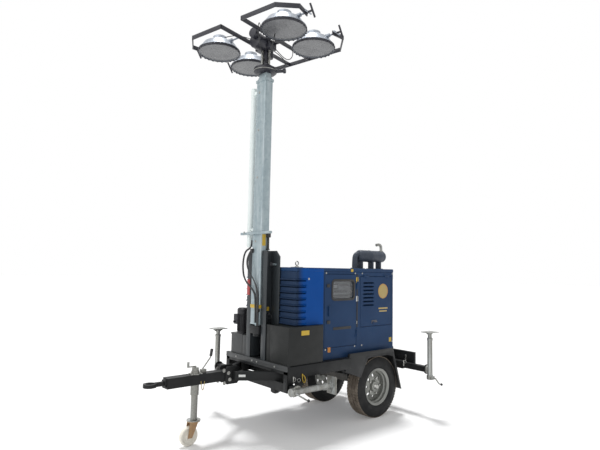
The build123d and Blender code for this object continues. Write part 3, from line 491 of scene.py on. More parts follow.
paints = {
    "bluePaint": tones((0.018, 0.05, 0.125), (0.013, 0.04, 0.105), 0.4, gloss=0.14, bare=(0.04, 0.08, 0.17),
                       dust=0.06),
    # Painted shade: the front face is painted darker below x = -0.205, fading out by x = -0.135, on every part
    # in this finish.
    "brightBlue": tones((0.004, 0.075, 0.33), (0.003, 0.065, 0.29), 0.42, gloss=0.1, bare=(0.02, 0.1, 0.26),
                        dust=0.04, darkUntil=(-0.205, -0.135), frontColour=(0.018, 0.036, 0.078)),
    "blackPaint": tones((0.014, 0.015, 0.016), (0.01, 0.011, 0.012), 0.45, gloss=0.22,
                        bare=(0.06, 0.06, 0.06), dust=0.08, dustTop=0.7),
    "basePaint": tones((0.01, 0.0115, 0.0115), (0.007, 0.0082, 0.0082), 0.45, gloss=0.3,
                       bare=(0.06, 0.06, 0.06), dust=0.05),
    "guardPaint": tones((0.017, 0.018, 0.019), (0.013, 0.014, 0.015), 0.42, gloss=0.35,
                        bare=(0.07, 0.07, 0.07), dust=0.15, dustTop=0.5),
    "motorPaint": tones((0.026, 0.026, 0.03), (0.019, 0.019, 0.022), 0.45, gloss=0.3, dust=0.05),
    "postPaint": tones((0.036, 0.043, 0.048), (0.027, 0.032, 0.036), 0.4, gloss=0.4, bare=(0.09, 0.09, 0.09),
                       dust=0.03),
    "greyPaint": tones((0.055, 0.058, 0.06), (0.042, 0.045, 0.047), 0.45, gloss=0.35, dust=0.06),
    "headPaint": tones((0.02, 0.021, 0.03), (0.015, 0.015, 0.022), 0.4, dust=0),
    "exhaustPaint": tones((0.058, 0.072, 0.1), (0.045, 0.055, 0.074), 0.55, gloss=0.3, dust=0,
                          bare=(0.16, 0.09, 0.05), chips=0.6),
    "axlePaint": tones((0.03, 0.03, 0.025), (0.022, 0.022, 0.019), 0.55, dust=0.3),
    "enginePaint": tones((0.05, 0.052, 0.055), (0.03, 0.032, 0.035), 0.5, dust=0.0),
    "panelPaint": tones((0.34, 0.35, 0.36), (0.28, 0.29, 0.3), 0.4, dust=0),
    "creamPlastic": tones((0.93, 0.9, 0.82), (0.9, 0.86, 0.76), 0.5, dust=0.1, dustTop=0.2,
                          bare=(0.6, 0.52, 0.4), chips=0.2),
    "yellowLabel": tones((0.62, 0.42, 0.04), (0.54, 0.36, 0.03), 0.45, chips=0.2, dust=0),
    "orangeLabel": tones((0.62, 0.25, 0.03), (0.55, 0.2, 0.02), 0.45, chips=0.2, dust=0),
    "creamLabel": tones((0.5, 0.38, 0.14), (0.42, 0.31, 0.11), 0.45, chips=0.2, dust=0),
    "whiteLabel": tones((0.74, 0.75, 0.74), (0.66, 0.67, 0.66), 0.45, chips=0.2, dust=0),
    "whitePlastic": tones((0.84, 0.9, 0.89), (0.76, 0.83, 0.82), 0.45, chips=0.1, dust=0),
    "redPaint": tones((0.42, 0.03, 0.03), (0.34, 0.02, 0.02), 0.38, coat=0.3, dust=0),
    "blackPlastic": tones((0.018, 0.018, 0.019), (0.012, 0.012, 0.013), 0.5, dust=0.1),
    "amberLens": tones((0.75, 0.26, 0.01), (0.65, 0.2, 0.01), 0.2, coat=0.5, dust=0),
    "redLens": tones((0.5, 0.015, 0.012), (0.42, 0.01, 0.01), 0.2, coat=0.5, dust=0),
}
zincs = {
    "mastZinc": tones((0.36, 0.43, 0.45), (0.27, 0.34, 0.37), 0.46, metal=0.55, crystals=34),
    "partZinc": tones((0.3, 0.3, 0.275), (0.22, 0.22, 0.205), 0.42, metal=0.6, crystals=90),
    "goldZinc": tones((0.42, 0.25, 0.12), (0.34, 0.22, 0.13), 0.38, metal=0.5, crystals=70,
                      dull=(0.5, 0.4, 0.26)),
}
brights = {
    "spunAluminium": tones((0.4, 0.43, 0.48), (0.33, 0.36, 0.4), 0.36, metal=0.75),
    "wheelSilver": tones((0.3, 0.305, 0.285), (0.24, 0.245, 0.23), 0.42, metal=0.5),
    "boltSteel": tones((0.45, 0.45, 0.43), (0.36, 0.36, 0.34), 0.36, metal=0.8),
    "darkSteel": tones((0.12, 0.12, 0.13), (0.09, 0.09, 0.1), 0.4, metal=0.7),
}
rubbers = {
    "tyreRubber": tones((0.018, 0.019, 0.02), (0.028, 0.028, 0.028), 0.75, gloss=0.25),
    "treadRubber": tones((0.15, 0.125, 0.1), (0.23, 0.195, 0.16), 0.9, gloss=0.2),
    "hoseRubber": tones((0.02, 0.021, 0.022), (0.028, 0.029, 0.03), 0.5),
}
glasses = {
    "lampGlass": tones((0.17, 0.173, 0.18), (0.13, 0.133, 0.14), 0.22, clear=0.2, pattern=110, relief=0.5),
    "windowGlass": tones((0.5, 0.52, 0.55), (0.45, 0.48, 0.5), 0.04, clear=0.9, pattern=3, relief=0.02),
}
finishes = {}
for makeFinish, looks in ((makePaint, paints), (makeZinc, zincs), (makeSpun, brights), (makeRubber, rubbers),
                          (makeGlass, glasses)):
    for name, look in looks.items():
        finishes[name] = makeFinish(name, look)
corners = ("front_left", "front_right", "rear_left", "rear_right")
nodeFinish = {
    "bluePaint": ("canopy_roof", "control_door", "service_door_left", "service_door_right", "canopy_frame"),
    "brightBlue": ("front_panel",),
    "blackPaint": ("mudguards", "chassis_frame", "front_deck", "rear_light_bar", "drawbar_yoke", "drawbar",
                   "towing_eye", "front_base_box") + tuple("outrigger_" + corner for corner in corners),
    "postPaint": ("mast_posts",),
    "greyPaint": ("hydraulic_pack",),
    "headPaint": ("lamp_frame",),
    "exhaustPaint": ("muffler",),
    "axlePaint": ("axle",),
    "enginePaint": ("engine_generator",),
    "panelPaint": ("control_panel",),
    "creamPlastic": ("jockey_wheel",),
    "mastZinc": ("mast_outer", "mast_section_2", "mast_section_3", "mast_section_4"),
    "whitePlastic": ("cable_tube",),
    "partZinc": ("jockey_sleeve", "jockey_tube", "handbrake", "lifting_eye")
                + tuple(start + corner for start in ("jack_", "jack_foot_") for corner in corners),
    "goldZinc": ("jockey_fork",),
    "spunAluminium": tuple("lamp_" + corner for corner in corners),
    "wheelSilver": ("rim_left", "rim_right"),
    "tyreRubber": ("tyre_left", "tyre_right"),
    "lampGlass": tuple("lamp_glass_" + corner for corner in corners),
    "windowGlass": ("control_window",),
}
for finish, names in nodeFinish.items():
    for name in names:
        for materialSlot in frame["nodes"][name].material_slots:
            materialSlot.material = finishes[finish]
print("finishes made:", len(finishes))


# Tyres and wheels

tyreLook = {"rows": 64, "ribs": ((-0.060, 0.030), (-0.021, 0.033), (0.021, 0.033), (0.060, 0.030)),
            "deep": 0.008, "cover": 0.86, "slant": 8, "sink": 0.0006}
wheelLook = {"nuts": 5, "nutCircle": 0.083, "nutRadius": 0.0125, "nutHigh": 0.017, "nutSeat": 0.022,
             "capRadius": 0.031, "capHigh": 0.024, "capSeat": 0.0515}


def turnedCopies(piece, count, start=0):
    # Copies of a piece round the upright axis at the origin; the piece itself goes.
    made = [copyOf(piece, Matrix.Rotation(math.tau * (step + start) / count, 4, "Z"))
            for step in range(count)]
    bpy.data.objects.remove(piece)
    return made


def makeTyre(side, look):
    node = "tyre_" + side
    low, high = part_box(node)
    rimLow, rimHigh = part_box("rim_" + side)
    radius, half, bead = (high.z - low.z) / 2, (high.y - low.y) / 2, (rimHigh.z - rimLow.z) / 2
    base = radius - look["deep"]
    wall = [(bead + 0.0008, 0.026), (bead + 0.004, 0.013), (bead + 0.013, 0.006), (bead + 0.017, 0.0065),
            (bead + 0.019, 0.004), (bead + 0.040, 0.0008), (bead + 0.060, 0.0006), (bead + 0.062, 0.0022),
            (bead + 0.070, 0.0026), (bead + 0.072, 0.0045), (base - 0.012, 0.013), (base - 0.003, 0.020),
            (base, 0.026)]
    outline = [(spot, half - inset) for spot, inset in wall]
    outline += [(spot, inset - half) for spot, inset in reversed(wall)]
    parts = [lathe(outline + outline[:1], steps=96)]
    reach = math.tau * radius / look["rows"] * look["cover"] / 2
    row = []
    for number, (place, width) in enumerate(look["ribs"]):
        lug = block((base - 0.002, -reach, -width / 2), (radius - look["sink"], reach, width / 2), 0.0014, 1)
        slant = math.radians(look["slant"] if number % 2 else -look["slant"])
        lug.data.transform(Matrix.Translation((0, 0, place)) @ Matrix.Rotation(slant, 4, "X"))
        row.append(lug)
    parts += turnedCopies(joined(row), look["rows"])
    tyre = joined(parts)
    aim(tyre, middle(node), outward(side))
    finishPiece(tyre, "tyreRound_" + side, "tyreRubber", "wheel_" + side)
    tyre.data.materials.append(finishes["treadRubber"])
    for face in tyre.data.polygons:
        spot = face.center
        across = math.hypot(spot.x - (low.x + high.x) / 2, spot.z - (low.z + high.z) / 2)
        if across > base - 0.001 and abs(spot.y - (low.y + high.y) / 2) < half - 0.008:
            face.material_index = 1
    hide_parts(node)


def makeWheelDetail(side, look):
    parts = []
    nut = drum((look["nutCircle"], 0, look["nutSeat"]),
               (look["nutCircle"], 0, look["nutSeat"] + look["nutHigh"]),
               look["nutRadius"], 6, 0.0012)
    parts += turnedCopies(nut, look["nuts"])
    seat, edge = look["capSeat"], look["capRadius"]
    parts.append(lathe([(0, seat), (edge, seat), (edge, seat + 0.004), (edge - 0.003, seat + 0.007),
                        (edge - 0.005, seat + 0.018), (edge - 0.012, seat + look["capHigh"]),
                        (0, seat + look["capHigh"])]))
    parts.append(drum((0.128, 0.012, 0.002), (0.136, 0.012, 0.036), 0.0035, 10, 0.0006))
    detail = aim(joined(parts), middle("tyre_" + side), outward(side))
    finishPiece(detail, "wheelNuts_" + side, "boltSteel", "wheel_" + side)


for side in ("left", "right"):
    makeTyre(side, tyreLook)
    makeWheelDetail(side, wheelLook)
print("tyres made")


# Small parts used in many places

def hexBolt(place, direction, radius=0.011, high=0.008, washer=1.45):
    # A hexagon head on its washer, standing on a face that looks along direction.
    parts = [drum((0, 0, 0), (0, 0, 0.0022), radius * washer, 20, 0.0005),
             drum((0, 0, 0.0022), (0, 0, 0.0022 + high), radius, 6, 0.001)]
    return aim(joined(parts), place, direction)


def ringWire(centre, direction, radius, thick, steps=20):
    # A round wire ring that lies across direction.
    piece = lathe([(radius + thick * math.cos(turn), thick * math.sin(turn))
                   for turn in [math.tau * step / 8 for step in range(9)]], steps=steps)
    return aim(piece, centre, direction)


# Front end: posts, power pack, deck, base box, louvred panel and roof

def sheetAcross(points, y0, y1):
    # An outline of x and z, pulled from y0 to y1.
    return plate([(x, y0, z) for x, z in points], (0, y1 - y0, 0))


def slab(points, z0, z1):
    # An outline of x and y, pulled up from z0 to z1.
    return plate([(x, y, z0) for x, y in points], (0, 0, z1 - z0))


def cutAway(piece, tools):
    # The tools are joined, taken out of the piece with an applied Boolean, and removed.
    tool = joined(tools)
    choose(piece)
    modifier = piece.modifiers.new("cut", "BOOLEAN")
    modifier.operation = "DIFFERENCE"
    modifier.solver = "EXACT"
    modifier.use_self = True
    modifier.object = tool
    bpy.ops.object.modifier_apply(modifier=modifier.name)
    bpy.data.objects.remove(tool)
    return piece


def mirroredY(piece):
    return copyOf(piece, Matrix.Scale(-1, 4, (0, 1, 0)))


frontLook = {"postFront": -0.365, "postRear": -0.244, "postInner": 0.085, "sheet": 0.008, "deckTop": 0.690,
             "postTop": 1.766, "flange": 0.080, "rearFlange": 0.138, "frontChamfer": 0.024,
             "rearChamfer": 0.058, "deckFront": -0.367, "deckRear": 0.131, "deckHalf": 0.524,
             "deckSheet": 0.005, "frontLip": 0.074, "apronRear": 0.468, "rampFrom": 0.150, "rampTo": 0.250,
             "cheek": 0.060, "sideLip": 0.110, "cornerLip": 0.235, "beamFrom": -0.360, "beamTo": -0.278,
             "beamTop": 0.533, "boxFront": -0.357, "boxStep": 0.081, "boxHalf": 0.516, "boxTop": 1.045,
             "boxInner": 0.230, "canopyHalf": 0.456, "farHalf": 0.378, "seam": 0.131, "panelFront": -0.232,
             "panelTop": 1.564}


def makePosts(look):
    inner, x0, x1 = look["postInner"], look["postFront"], look["postRear"]
    parts = [block((x0, inner, look["deckTop"]), (x1, inner + look["sheet"], look["postTop"]), 0.0015),
             block((x0 + 0.004, inner, look["deckTop"]),
                   (x1 - 0.004, inner + look["flange"], look["deckTop"] + 0.012), 0.0015)]
    for x, wide, slope in ((x0, look["flange"], look["frontChamfer"]),
                           (x1 - look["sheet"], look["rearFlange"], look["rearChamfer"])):
        edge = inner + wide
        outline = [(x, inner, look["deckTop"]), (x, edge, look["deckTop"]),
                   (x, edge, look["postTop"] - slope), (x, edge - slope, look["postTop"]),
                   (x, inner, look["postTop"])]
        parts.append(roundEdges(plate(outline, (look["sheet"], 0, 0)), 0.0015))
    far = joined(parts)
    posts = finishPiece([far, mirroredY(far)], "mastPosts", "postPaint", "chassis")
    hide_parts("mast_posts")


def makeDeck(look):
    lip, front, half, top = look["deckSheet"], look["deckFront"], look["deckHalf"], look["deckTop"]
    low, side = top - look["cornerLip"], top - look["sideLip"]
    parts = [block((front, -half, top - lip), (look["deckRear"], half, top), 0.0015),
             block((front, -half, top - look["frontLip"]), (front + lip, half, top), 0.0015)]
    apron = sheetAcross([(front, low), (front, top), (look["apronRear"], top), (look["apronRear"], side),
                         (front + look["rampTo"], side), (front + look["rampFrom"], low),
                         (look["beamTo"], low), (look["beamTo"], look["beamTop"]),
                         (look["beamFrom"], look["beamTop"]), (look["beamFrom"], low)], half - lip, half)
    roundEdges(apron, 0.0015)
    ledge = block((look["deckRear"], look["canopyHalf"], top - lip), (look["apronRear"], half, top), 0.0015)
    cheek = block((front, half - look["cheek"], low), (front + lip, half, top), 0.0015)
    near = joined([apron, ledge, cheek])
    deck = finishPiece(parts + [near, mirroredY(near)], "frontDeck", "blackPaint", "chassis")
    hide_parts("front_deck")


def makeBaseBox(look):
    front, step, notch, inner = look["boxFront"], look["boxStep"], look["panelFront"], look["boxInner"]
    wide, slim, far = look["boxHalf"], look["canopyHalf"], look["farHalf"]
    outline = [(front, -wide), (step, -wide), (step, -slim), (look["seam"], -slim),
               (look["seam"], far), (notch, far), (notch, -inner), (front, -inner)]
    body = roundEdges(slab(outline, look["deckTop"], look["boxTop"]), 0.004, 3)
    tab = block((front, -inner - 0.002, look["deckTop"]), (front + 0.006, -0.170, look["boxTop"]), 0.0015)
    box = finishPiece([body, tab], "frontBaseBox", "basePaint", "chassis")
    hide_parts("front_base_box")


louvreLook = {"count": 8, "pitch": 0.061, "first": 1.481, "high": 0.026, "wall": 0.028, "hood": 0.013,
              "drop": 0.015, "thick": 0.003, "postEdge": 0.193, "between": 0.072, "sideRun": 0.130,
              "corner": 0.018, "cornerSteps": 5}


def makeFrontPanel(look, slots):
    x0, x1, near, far = look["panelFront"], look["seam"] - 0.002, look["canopyHalf"], look["farHalf"]
    z0, z1, wall, reach = look["boxTop"], look["panelTop"], slots["wall"], slots["corner"]
    outline = [(x1, -near), (x1, far)]
    for middleY, start in ((far - reach, 90), (reach - near, 180)):
        for step in range(slots["cornerSteps"] + 1):
            turn = math.radians(start + 90 * step / slots["cornerSteps"])
            outline.append((x0 + reach + reach * math.cos(turn), middleY + reach * math.sin(turn)))
    shell = slab(outline, z0, z1)
    cutAway(shell, [block((x0 + wall, wall - near, z0 + wall), (x1 + 0.01, far - wall, z1 + 0.01), 0)])
    acrossFront, alongSides = [], []
    half = slots["high"] / 2
    for step in range(slots["count"]):
        z = slots["first"] - step * slots["pitch"]
        side = [(-0.0005, z - half), (-0.0005, z + half - 0.008), (wall + 0.001, z + half + 0.006),
                (wall + 0.001, z - half + 0.014)]
        for y0, y1 in ((-near - 0.01, -slots["postEdge"]), (-slots["between"], slots["between"]),
                       (slots["postEdge"], far + 0.01)):
            acrossFront.append(sheetAcross([(x0 + x, spotZ) for x, spotZ in side], y0, y1))
        for face, inward in ((-near, 1), (far, -1)):
            alongSides.append(plate([(x0 - 0.002, face + inward * x, spotZ) for x, spotZ in side],
                                    (slots["sideRun"] + 0.002, 0, 0)))
    cutAway(shell, acrossFront)
    cutAway(shell, alongSides)
    panel = finishPiece(shell, "frontPanel", "brightBlue", "chassis", 30)
    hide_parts("front_panel")


def makeRoof(look):
    low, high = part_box("canopy_roof")
    outline = [(look["panelFront"], low.y), (high.x, low.y), (high.x, high.y), (look["seam"], high.y),
               (look["seam"], look["farHalf"]), (look["panelFront"], look["farHalf"])]
    sheet = slab(outline, look["panelTop"], high.z)
    roundEdges(sheet, 0.010, 4)
    roof = finishPiece(sheet, "canopyRoof", "bluePaint", "chassis")
    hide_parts("canopy_roof")
    fold = block((look["panelFront"] + 0.03, low.y - 0.0016, look["panelTop"] - 0.001),
                 (look["seam"], low.y + 0.002, high.z - 0.008), 0.0007)
    finishPiece(fold, "roofFold", "brightBlue", "chassis")


def lowerEdge(piece, keep, drop):
    # The points that keep doesn't hold are moved down, which slants a flat hood.
    choose(piece)
    for vertex in piece.data.vertices:
        vertex.select = not keep(vertex.co)
    for edge in piece.data.edges:
        edge.select = all(piece.data.vertices[number].select for number in edge.vertices)
    for face in piece.data.polygons:
        face.select = all(piece.data.vertices[number].select for number in face.vertices)
    bpy.ops.object.mode_set(mode="EDIT")
    bpy.ops.transform.translate(value=(0, 0, -drop))
    bpy.ops.object.mode_set(mode="OBJECT")
    return piece


def cornerPath(face, look, slots, offset):
    # From beside the mast post, round the corner, to the end of the side slot, for the side at y = -face.
    reach = slots["corner"]
    middleX, middleY = look["panelFront"] + reach, reach - face
    path = [(look["panelFront"] - offset, -slots["postEdge"], 0)]
    for step in range(slots["cornerSteps"] + 1):
        turn = math.pi + math.pi / 2 * step / slots["cornerSteps"]
        path.append((middleX + (reach + offset) * math.cos(turn), middleY + (reach + offset) * math.sin(turn),
                     0))
    path.append((look["panelFront"] + slots["sideRun"], -face - offset, 0))
    return path


def makeHoods(look, slots):
    pair = []
    for face, turned in ((look["canopyHalf"], False), (look["farHalf"], True)):
        inner = cornerPath(face, look, slots, -0.001)
        outer = cornerPath(face, look, slots, slots["hood"])
        hood = plate(inner + outer[::-1], (0, 0, -slots["thick"]))
        innerSpots = [Vector(spot).to_2d() for spot in inner]
        lowerEdge(hood, lambda spot: min((spot.to_2d() - one).length for one in innerSpots) < 0.004,
                  slots["drop"])
        if turned:
            flat, hood = hood, mirroredY(hood)
            bpy.data.objects.remove(flat)
        pair.append(hood)
    both = joined(pair)
    shell = [copyOf(both, Matrix.Translation((0, 0, slots["first"] + 0.018 - slots["pitch"] * step)))
             for step in range(slots["count"])]
    bpy.data.objects.remove(both)
    finishPiece(shell, "louvreHoods", "brightBlue", "chassis", 30)


packLook = {"x0": -0.357, "long": 0.114, "y0": 0.231, "y1": 0.458, "top": 0.895, "manifoldRear": -0.260,
            "manifoldY": 0.173, "motorX": -0.304, "motorY": 0.3285, "motorRadius": 0.058, "motorHigh": 0.240,
            "fins": 20}


def makePowerPack(look, front):
    deck, top = front["deckTop"], look["top"]
    tank = block((look["x0"], look["y0"], deck), (look["x0"] + look["long"], look["y1"], top), 0.010, 4)
    manifold = block((look["x0"], look["manifoldY"], deck), (look["manifoldRear"], look["y0"] + 0.02, top),
                     0.004)
    lid = block((look["x0"] - 0.003, look["y0"] + 0.012, top - 0.012),
                (look["x0"] + look["long"] + 0.003, look["y1"] + 0.003, top + 0.006), 0.003)
    tankPiece = finishPiece([tank, manifold, lid], "hydraulicTank", "greyPaint", "chassis")
    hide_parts("hydraulic_pack")
    x, y, radius, high = look["motorX"], look["motorY"], look["motorRadius"], look["motorHigh"]
    body = lathe([(0, 0), (radius - 0.002, 0), (radius - 0.002, 0.026), (radius - 0.010, 0.026),
                  (radius - 0.010, high - 0.030),
                  (radius, high - 0.030), (radius, high + 0.018), (radius - 0.010, high + 0.028),
                  (0, high + 0.028)],
                 (x, y, top))
    fin = block((radius - 0.012, -0.0015, 0.032), (radius - 0.001, 0.0015, high - 0.034), 0.0006, 1)
    fins = turnedCopies(fin, look["fins"])
    for one in fins:
        one.data.transform(Matrix.Translation((x, y, top)))
    box = block((x - 0.040, y + radius - 0.012, top + 0.095), (x + 0.030, y + radius + 0.058, top + 0.200),
                0.004)
    gland = drum((x - 0.040, y + radius + 0.030, top + 0.120), (x - 0.058, y + radius + 0.030, top + 0.120),
                 0.010, 12)
    cowl = [ringWire((x, y, top + high + 0.029), (0, 0, 1), spot, 0.0016) for spot in (0.020, 0.032, 0.044)]
    finishPiece([body, box, gland] + fins + cowl, "hydraulicMotor", "motorPaint", "chassis")


makePosts(frontLook)
makeDeck(frontLook)
makeBaseBox(frontLook)
makeFrontPanel(frontLook, louvreLook)
makeRoof(frontLook)
makeHoods(frontLook, louvreLook)
print("front end made")


# Mudguards, rear bar, yoke, lifting eye and head frame

guardLook = {"sheet": 0.004, "inner": 0.310, "outer": 0.516, "reach": 0.314, "top": 0.678, "lip": 0.052,
             "stayInner": 0.265, "railLow": 0.615}


def makeMudguards(look):
    wheel = middle("tyre_left").x
    front, rear, top, thick = wheel - look["reach"], wheel + look["reach"], look["top"], look["sheet"]
    high = top + look["lip"]
    sheet = sheetAcross([(front - 0.018, 0.480), (front + 0.088, top), (rear - 0.086, top),
                         (rear + 0.046, 0.262),
                         (rear + 0.042, 0.262), (rear - 0.090, top - thick), (front + 0.092, top - thick),
                         (front - 0.014, 0.480)], look["inner"], look["outer"])
    side = sheetAcross([(front - 0.236, 0.555), (front - 0.163, high), (rear - 0.100, high),
                        (rear + 0.046, 0.262),
                        (rear + 0.032, 0.262), (rear - 0.108, top - 0.040), (rear - 0.190, top - 0.016),
                        (front + 0.170, top - 0.016), (front + 0.106, top - 0.026), (front - 0.004, 0.470)],
                       look["outer"] - thick, look["outer"])
    fold = sheetAcross([(front - 0.235, 0.558), (front - 0.164, high - 0.002), (front - 0.160, high - 0.002),
                        (front - 0.231, 0.558)], look["outer"] - 0.030, look["outer"] - 0.001)
    stay = block((wheel - 0.15, look["stayInner"], top - 0.010),
                 (wheel + 0.15, look["inner"] + 0.03, top - thick), 0.001)
    foot = block((wheel - 0.15, look["stayInner"], look["railLow"] + 0.01),
                 (wheel + 0.15, look["stayInner"] + 0.006, top - 0.005), 0.001)
    right = joined([roundEdges(one, 0.001) for one in (sheet, side, fold)] + [stay, foot])
    guards = finishPiece([right, mirroredY(right)], "mudguardPair", "guardPaint", "chassis")
    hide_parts("mudguards")


rearLook = {"x0": 1.473, "deep": 0.034, "half": 0.565, "low": 0.516, "high": 0.656}


def makeRearBar(look):
    bar = block((look["x0"], -look["half"], look["low"]),
                (look["x0"] + look["deep"], look["half"], look["high"]), 0.006, 3)
    piece = finishPiece(bar, "rearBar", "blackPaint", "chassis")
    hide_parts("rear_light_bar")


yokeLook = {"plateFront": -0.735, "plateRear": -0.587, "barRear": -0.657, "inner": 0.045, "plate": 0.012,
            "low": 0.496, "high": 0.658, "slope": 0.018, "beamLow": 0.532, "beamTop": 0.615, "wide": 0.0575,
            "rear": -0.247, "rearY": 0.400, "postY": 0.235}


def makeYoke(look):
    x0, x1, z0, z1, slope = look["plateFront"], look["plateRear"], look["low"], look["high"], look["slope"]
    side = sheetAcross([(x0 + slope, z0), (x1 - slope, z0), (x1, z0 + slope), (x1, z1 - slope),
                        (x1 - slope, z1),
                        (x0 + slope, z1), (x0, z1 - slope), (x0, z0 + slope)], look["inner"],
                       look["inner"] + look["plate"])
    beam = slab([(look["barRear"], look["inner"]), (look["barRear"], look["inner"] + look["wide"]),
                 (look["rear"], look["rearY"]), (look["rear"], look["rearY"] - look["wide"])],
                look["beamLow"], look["beamTop"])
    post = block((look["rear"] - 0.05, look["postY"], look["beamLow"]),
                 (look["rear"], look["rearY"], look["beamTop"]), 0.002)
    near = joined([roundEdges(side, 0.002), roundEdges(beam, 0.003), post])
    web = block((look["barRear"] + 0.01, -look["inner"], look["beamLow"]),
                (look["barRear"] + 0.022, look["inner"], look["beamTop"]), 0.001)
    tail = block((look["rear"] - 0.012, -look["rearY"] + 0.02, look["beamLow"]),
                 (look["rear"], look["rearY"] - 0.02, look["beamTop"]), 0.001)
    yoke = finishPiece([near, mirroredY(near), web, tail], "drawbarYoke", "blackPaint", "chassis")
    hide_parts("drawbar_yoke")


eyeLook = {"x": -0.010, "places": (0.250, -0.200), "high": 0.042, "ring": 0.020, "thick": 0.006}


def makeLiftEye(look):
    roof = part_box("canopy_roof")[1].z
    for y, name in zip(look["places"], ("liftingEye", "liftingEyeNear")):
        parts = [ringWire((look["x"], y, roof + look["high"]), (0, 1, 0), look["ring"], look["thick"], 32),
                 drum((look["x"], y, roof), (look["x"], y, roof + look["high"] - look["ring"]), 0.010, 20),
                 drum((look["x"], y, roof), (look["x"], y, roof + 0.012), 0.022, 28, 0.002),
                 block((look["x"] - 0.045, y - 0.045, roof), (look["x"] + 0.045, y + 0.045, roof + 0.005),
                       0.0015)]
        eye = finishPiece(parts, name, "boltSteel", "chassis")
        if y == look["places"][0]:
            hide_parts("lifting_eye")


headLook = {"turn": 12.6, "barY": 0.140, "frontX": -0.520, "backX": 0.585, "endY": 0.560, "bendX": 0.372,
            "bendY": 0.728, "pinX": 0.222, "pinY": 0.700, "thick": 0.012, "high": 0.044, "turnRadius": 0.122,
            "hubX": -0.105, "hubLong": 0.150, "hubRadius": 0.080, "hubDrop": 0.036, "innerBar": 0.06,
            "stem": 0.036, "tableHigh": 0.062}


def flatBar(start, finish, look):
    # A bar on edge between two places in the head's plane, drawn at the head's own origin.
    start, finish = Vector((*start, 0)), Vector((*finish, 0))
    run = finish - start
    half = look["thick"] / 2
    piece = block((-half, -half, -look["high"] / 2), (run.length + half, half, look["high"] / 2), 0.0015)
    piece.data.transform(Matrix.Translation(start) @ Matrix.Rotation(math.atan2(run.y, run.x), 4, "Z"))
    return piece


def headPlace(look):
    # The head is drawn round the mast's middle, at the height of the lamps' pins. This gives where that is,
    # turned as the head is parked, and how far below it the head's frame starts.
    plane = jointPlace("floodlight_front_left_tilt")[2]
    turn = Matrix.Rotation(math.radians(look["turn"]), 4, "Z")
    return Matrix.Translation((middle("mast_section_4").x, 0,
                               plane)) @ turn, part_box("lamp_frame")[0].z - plane


def makeHead(look):
    place, base = headPlace(look)
    parts = []
    for side in (-1, 1):
        y = side * look["barY"]
        parts.append(flatBar((look["frontX"], y), (look["backX"], y), look))
        for end, x in ((-1, look["frontX"]), (1, look["backX"])):
            corner, bend = (x, side * look["endY"]), (end * look["bendX"], side * look["bendY"])
            parts.append(flatBar((x, y if end < 0 else 0), corner, look))
            parts.append(flatBar(corner, bend, look))
            parts.append(flatBar(bend, (end * look["pinX"], side * look["pinY"]), look))
    for x in (-look["innerBar"], look["innerBar"]):
        parts.append(flatBar((x, -look["barY"]), (x, look["barY"]), look))
    table, top = look["turnRadius"], base + look["tableHigh"]
    parts.append(lathe([(0, base), (table - 0.024, base), (table, base + 0.020), (table, top - 0.007),
                        (table - 0.006, top), (0, top)]))
    parts.append(drum((0, 0, top - 0.002), (0, 0, 0.02), look["stem"], 28, 0.003))
    hub, long = look["hubRadius"], look["hubLong"]
    parts.append(lathe([(0, 0), (hub - 0.022, 0), (hub - 0.006, 0.008), (hub, 0.024), (hub, long - 0.024),
                        (hub - 0.006, long - 0.008), (hub - 0.022, long), (0, long)],
                       (look["hubX"] - long / 2, 0, -look["hubDrop"]), (1, 0, 0)))
    head = joined(parts)
    head.data.transform(place)
    finishPiece(head, "headFrame", "headPaint", "lamp_head")
    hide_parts("lamp_frame")


makePowerPack(packLook, frontLook)
makeMudguards(guardLook)
makeRearBar(rearLook)
makeYoke(yokeLook)
makeLiftEye(eyeLook)
makeHead(headLook)
print("rear and head made")


# Lamp head: gear, cables, bezels and handles

